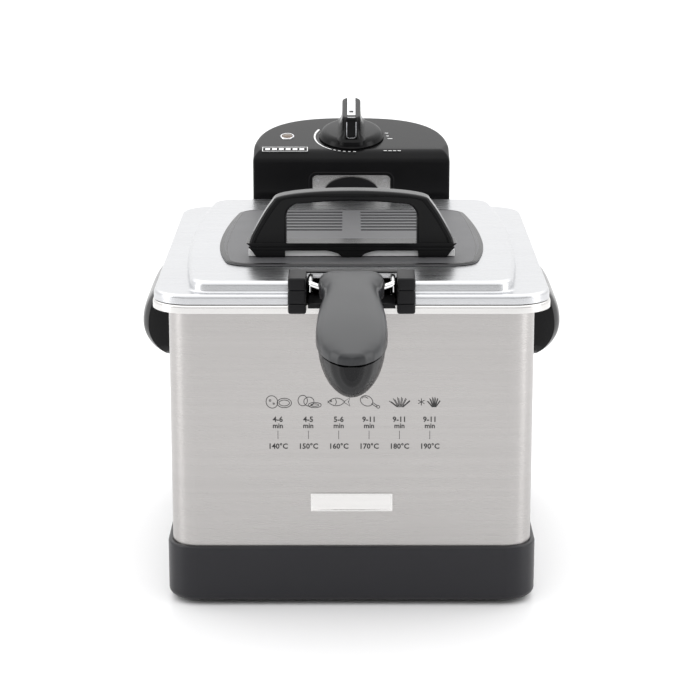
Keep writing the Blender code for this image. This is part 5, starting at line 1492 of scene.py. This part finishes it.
# ---- basket ----------------------------------------------------------------------------------
@dataclass
class Basket:
    """Wire basket with its rim wire, hanger plate and carrying wires."""

    half_width: float = 0.0920
    front: float = 0.0270
    rear: float = 0.2380
    bottom: float = 0.0880
    top: float = 0.1780
    pitch: float = 0.0062
    wire: float = 0.00055
    body: str = "basket"

    def ring(self, inset: float, z: float) -> list[Vector]:
        """Lay out a level ring of the basket's wall."""
        return rounded(self.half_width - inset, self.front + inset, self.rear - inset, 0.0240 - 0.6 * inset,
                       z, steps=8)

    def wall_inset(self, z: float) -> float:
        """Return how far the wall stands in at a height, rounded into the floor."""
        rise = z - self.bottom
        taper = 0.0030 * (1.0 - min(rise / (self.top - self.bottom), 1.0))
        round_in = 0.0090 * (1.0 - min(rise / 0.0110, 1.0)) ** 2.0
        return 0.0008 + taper + round_in

    def build(self) -> None:
        """Weave the basket and fit its wires."""
        rows = []
        count = int((self.top - self.bottom) / self.pitch)
        for index in range(1, count + 1):
            z = self.bottom + (self.top - self.bottom) * index / count
            rows.append(self.ring(self.wall_inset(z), z))
        mesh = Form().wires(rows, self.wire, 1, cyclic=True)
        mesh.wires(self.hoops(), self.wire, 1)
        mesh.cast("basket_weave", STEEL_POLISHED, self.body, "basket_mesh")
        rim = rounded(self.half_width + 0.0006, self.front - 0.0006, self.rear + 0.0006, 0.0240,
                      self.top + 0.0026, steps=16)
        form = Form().wires([rim], 0.0022, 4, cyclic=True)
        form.wires([self.ring(0.0100, self.bottom + 0.0012)], 0.0014, 3, cyclic=True)
        form.cast("basket_rim_round", STEEL_POLISHED, self.body, "basket_rim_wire")
        refine("basket_hanger_plate", STEEL_POLISHED, self.body, 0.0003)
        for side, label in ((-1.0, "left"), (1.0, "right")):
            self.build_arm(side, label)

    def hoops(self) -> list[list[Vector]]:
        """Lay out the wires that run down one wall, over the floor and up the other."""
        heights = [self.top, 0.1500, 0.1250, 0.1050, 0.0990, 0.0950, 0.0920, 0.0898]
        paths = []
        middle = (self.front + self.rear) / 2.0
        for across, reach in ((True, self.half_width), (False, (self.rear - self.front) / 2.0)):
            other = (self.rear - self.front) / 2.0 if across else self.half_width
            count = int(2.0 * (other - 0.0120) / self.pitch)
            for index in range(count + 1):
                along = -(other - 0.0120) + 2.0 * (other - 0.0120) * index / count
                down = [(self.edge_at(reach, other, along, z), z) for z in heights]
                line = down + [(-a, z) for a, z in reversed(down)]
                if across:
                    paths.append([Vector((a, middle + along, z)) for a, z in line])
                else:
                    paths.append([Vector((along, middle + a, z + self.wire)) for a, z in line])
        return paths

    def edge_at(self, reach: float, other: float, along: float, z: float) -> float:
        """Return the wall's distance from the middle, where the corner rounds it in."""
        inset = self.wall_inset(z)
        corner = 0.0240 - 0.6 * inset
        past = max(abs(along) - (other - inset - corner), 0.0)
        past = min(past, corner * 0.999)
        return reach - inset - corner + (corner * corner - past * past) ** 0.5

    def build_arm(self, side: float, label: str) -> None:
        """Bend one carrying wire, from the hanger plate over the rim and into the grip."""
        x = side * 0.0250
        corners = [(x, 0.0208, 0.1420), (x, 0.0208, 0.1990), (x, 0.0070, 0.2103), (x, -0.0150, 0.2103),
                   (side * 0.0140, -0.0150, 0.2064)]
        form = Form().wires([filleted(corners, 0.0022, 8)], 0.0017, 5)
        form.wires([[Vector((x, -0.0150, 0.2100)), Vector((x, -0.0150, 0.2052))]], 0.00055, 2)
        form.cast(f"basket_arm_{label}_bent", STEEL_POLISHED, self.body, f"basket_arm_{label}")


@dataclass
class BasketGrip:
    """Folding grip: a soft upper shell over a glossy lower one."""

    hinge_y: float = -0.0150
    hinge_z: float = 0.2070
    neck: float = 0.0112
    barrel: float = 0.0060
    barrel_half: float = 0.0197
    tip: float = -0.1225
    body: str = "basket_grip"
    widths: tuple[Station, ...] = (
        (-0.0080, 0.0178), (-0.0095, 0.0188), (-0.0118, 0.0193), (-0.0150, 0.0194),
        (-0.0190, 0.0189), (-0.0240, 0.0177), (-0.0300, 0.0169), (-0.0400, 0.0173), (-0.0540, 0.0193),
        (-0.0700, 0.0205), (-0.0850, 0.0207), (-0.0970, 0.0196), (-0.1070, 0.0170), (-0.1150, 0.0128),
        (-0.1200, 0.0080), (-0.1217, 0.0048), (-0.1225, 0.0016))
    belly: tuple[Station, ...] = (
        (-0.0300, 0.0074), (-0.0400, 0.0122), (-0.0540, 0.0170), (-0.0700, 0.0215), (-0.0850, 0.0243),
        (-0.0970, 0.0246), (-0.1070, 0.0216), (-0.1150, 0.0163), (-0.1200, 0.0100), (-0.1225, 0.0040))

    def seam(self, y: float) -> float:
        """Return the height of the line between the shells."""
        return 0.2000 - 0.119 * (self.hinge_y - y)

    def hem(self, y: float) -> float:
        """Return the upper shell's lower edge, which rises over the hinge to clear the barrel's ends."""
        share = min(max((y + 0.0300) / 0.0110, 0.0), 1.0)
        return self.seam(y) + 0.0082 * share * share * (3.0 - 2.0 * share)

    def crest(self, y: float) -> float:
        """Return the height of the upper shell's middle."""
        reach = self.hinge_y - y
        if reach < 0.0:
            return self.hinge_z + max(self.neck ** 2 - reach ** 2, 0.0) ** 0.5
        return self.hinge_z + self.neck - 0.12 * reach - 1.08 * reach * reach

    @staticmethod
    def half_section(half_width: float, seam: float, height: float, power: float, y: float) -> list[Vector]:
        """Lay out half a rounded section from one side of the seam to the other."""
        points = []
        for step in range(33):
            angle = pi * step / 32
            across, rise = cos(angle), max(sin(angle), 0.0)
            sign = 1.0 if across >= 0.0 else -1.0
            points.append(Vector((half_width * abs(across) ** (2.0 / power) * sign, y,
                                  seam + height * rise ** (2.0 / power))))
        return points

    def stations(self, start: float, end: float, count: int) -> list[float]:
        """Spread stations from start to end, closer together at the tip."""
        return [start + (end - start) * sin(pi / 2.0 * step / count) for step in range(count + 1)]

    def build(self) -> None:
        """Mould both shells and the barrel."""
        rings = []
        for y in self.stations(-0.0080, self.tip, 72):
            hem = self.hem(y)
            rise = max(self.crest(y) - hem, 0.0012)
            near_tip = min(max((y - self.tip) / 0.0032, 0.0), 1.0)
            rise *= 0.70 + 0.30 * (1.0 - (1.0 - near_tip) ** 2.0) ** 0.5
            rings.append(self.half_section(eased(self.widths, y), hem, rise, 3.8, y))
        upper = Form().loft(rings)
        upper.cast("grip_upper_shell", SOFT_GRIP, self.body, "grip_upper", angle=50.0)
        barrel = [(0.0, self.barrel_half), (0.0044, self.barrel_half), (0.0053, self.barrel_half - 0.0003),
                  (0.0058, self.barrel_half - 0.0008), (self.barrel, self.barrel_half - 0.0015)]
        profile = barrel + [(radius, -height) for radius, height in reversed(barrel)]
        place = Matrix.Translation((0.0, self.hinge_y, self.hinge_z)) @ Matrix.Rotation(pi / 2.0, 4, "Y")
        Form().revolve(profile, 56, place).cast("grip_barrel", SATIN_BLACK, self.body)
        rings = []
        for y in self.stations(-0.0300, self.tip + 0.0012, 44):
            height = eased(self.belly, y) + 0.016 * (self.hinge_y - y)
            rings.append(self.half_section(eased(self.widths, y) - 0.0011, self.seam(y) - 0.0014, -height,
                                           1.95, y))
        Form().loft(rings).cast("grip_lower_shell", GRIP_BLACK, self.body, "grip_lower", angle=50.0)


@dataclass
class ResetButton:
    """Red button of the thermal cut-out."""

    y: float = 0.3610
    z: float = 0.1620
    body: str = "reset_button"

    def build(self) -> None:
        """Turn the button."""
        profile = [(0.0, -0.0002), (0.0022, -0.0001), (0.0032, 0.0), (0.0038, -0.0004), (0.0040, -0.0010),
                   (0.0040, -0.0062), (0.0056, -0.0062), (0.0056, -0.0078), (0.0020, -0.0078),
                   (0.0020, -0.0140), (0.0, -0.0140)]
        place = Matrix.Translation((0.0, self.y, self.z)) @ Matrix.Rotation(-pi / 2.0, 4, "X")
        Form().revolve(profile, 40, place).cast("reset_button_moulding", BUTTON_RED, self.body,
                                                "reset_button")


# ---- studio ----------------------------------------------------------------------------------
@dataclass
class Studio:
    """Pale floor, soft light and the camera."""

    eye: tuple[float, float, float] = (-0.0010, -1.48405, 0.5093)
    tilt: float = 14.166
    lens: float = 117.8
    lights: list[tuple[str, tuple[float, float, float], tuple[float, float, float], Flat, float]] = field(
        default_factory=lambda: [
            ("side_left", (-1.60, -0.45, 0.60), (0.0, 0.0, 0.12), (0.6, 1.3), 7.0),
            ("side_right", (1.60, -0.45, 0.60), (0.0, 0.0, 0.12), (0.6, 1.3), 7.0)])

    def build(self) -> None:
        """Set up the floor, the backdrop light, the lights and the camera."""
        self.build_floor()
        self.build_world()
        for name, place, aim, size, power in self.lights:
            self.build_light(name, place, aim, size, power)
        camera = bpy.data.cameras.new("camera")
        camera.lens = self.lens
        camera.sensor_width = 36.0
        camera.clip_end = 50.0
        holder = bpy.data.objects.new("camera", camera)
        holder.location = self.eye
        holder.rotation_euler = (radians(90.0 - self.tilt), 0.0, 0.0)
        bpy.context.scene.collection.objects.link(holder)
        bpy.context.scene.camera = holder
        bpy.context.scene.view_settings.view_transform = "Standard"

    def build_floor(self) -> None:
        """Lay the floor, which the feet stand on."""
        bm = bmesh.new()
        bmesh.ops.create_grid(bm, x_segments=1, y_segments=1, size=12.0)
        mesh = bpy.data.meshes.new("floor")
        bm.to_mesh(mesh)
        bm.free()
        brush = Brush("floor_white")
        mottle = brush.noise(3.0, 2.0)
        brush.set(Base_Color=brush.blend(mottle, (0.800, 0.800, 0.803), (0.812, 0.812, 0.816)),
                  Roughness=0.30 + mottle * 0.05, Specular_IOR_Level=0.30)
        mesh.materials.append(brush.material)
        floor = bpy.data.objects.new("floor", mesh)
        bpy.context.scene.collection.objects.link(floor)

    def build_world(self) -> None:
        """Light the room: brightest above and behind, softer in front."""
        world = bpy.data.worlds.new("studio")
        bpy.context.scene.world = world
        world.use_nodes = True
        board = Board(world.node_tree)
        back = board.tree.nodes["Background"]
        placed = Wire(board, board.node("ShaderNodeTexCoord").outputs["Generated"])
        split = board.node("ShaderNodeSeparateXYZ", {}, {0: placed})
        reach = self.spread(board, split.outputs["Y"], (-0.4, 0.5), (0.66, 1.20))
        height = self.spread(board, split.outputs["Z"], (0.28, 0.70), (0.0, 1.00))
        board.feed(back.inputs["Strength"], reach + height)
        board.feed(back.inputs["Color"], (1.0, 1.0, 1.0))

    @staticmethod
    def spread(board: Board, value: bpy.types.NodeSocket, start: Flat, end: Flat) -> Wire:
        """Spread a value smoothly from one range to another."""
        made = board.node("ShaderNodeMapRange", {"interpolation_type": "SMOOTHSTEP"}, {
            "Value": Wire(board, value), "From Min": start[0], "From Max": start[1], "To Min": end[0],
            "To Max": end[1]})
        return Wire(board, made.outputs["Result"])

    def build_light(self, name: str, place: Sequence[float], aim: Sequence[float], size: Flat,
                    power: float) -> None:
        """Hang one soft box.

        Args:
            name: its name.
            place: where it hangs.
            aim: what it faces.
            size: its width and height.
            power: its power.
        """
        lamp = bpy.data.lights.new(name, "AREA")
        lamp.shape = "RECTANGLE"
        lamp.size, lamp.size_y = size
        lamp.energy = power
        holder = bpy.data.objects.new(name, lamp)
        holder.location = place
        holder.rotation_euler = (Vector(aim) - Vector(place)).to_track_quat("-Z", "Y").to_euler()
        bpy.context.scene.collection.objects.link(holder)


def main() -> None:
    """Build every sub-assembly in order."""
    logging.basicConfig(level=logging.INFO, format="%(name)s: %(message)s")
    head = ControlHead()
    for part in (Studio(), Housing(), OilTank(), Lid(), head, Basket(), BasketGrip(), ResetButton()):
        part.build()
        LOG.info("finished %s", type(part).__name__)
    ThermostatKnob().build(head.panel_place())


if __name__ == "__main__":
    main()
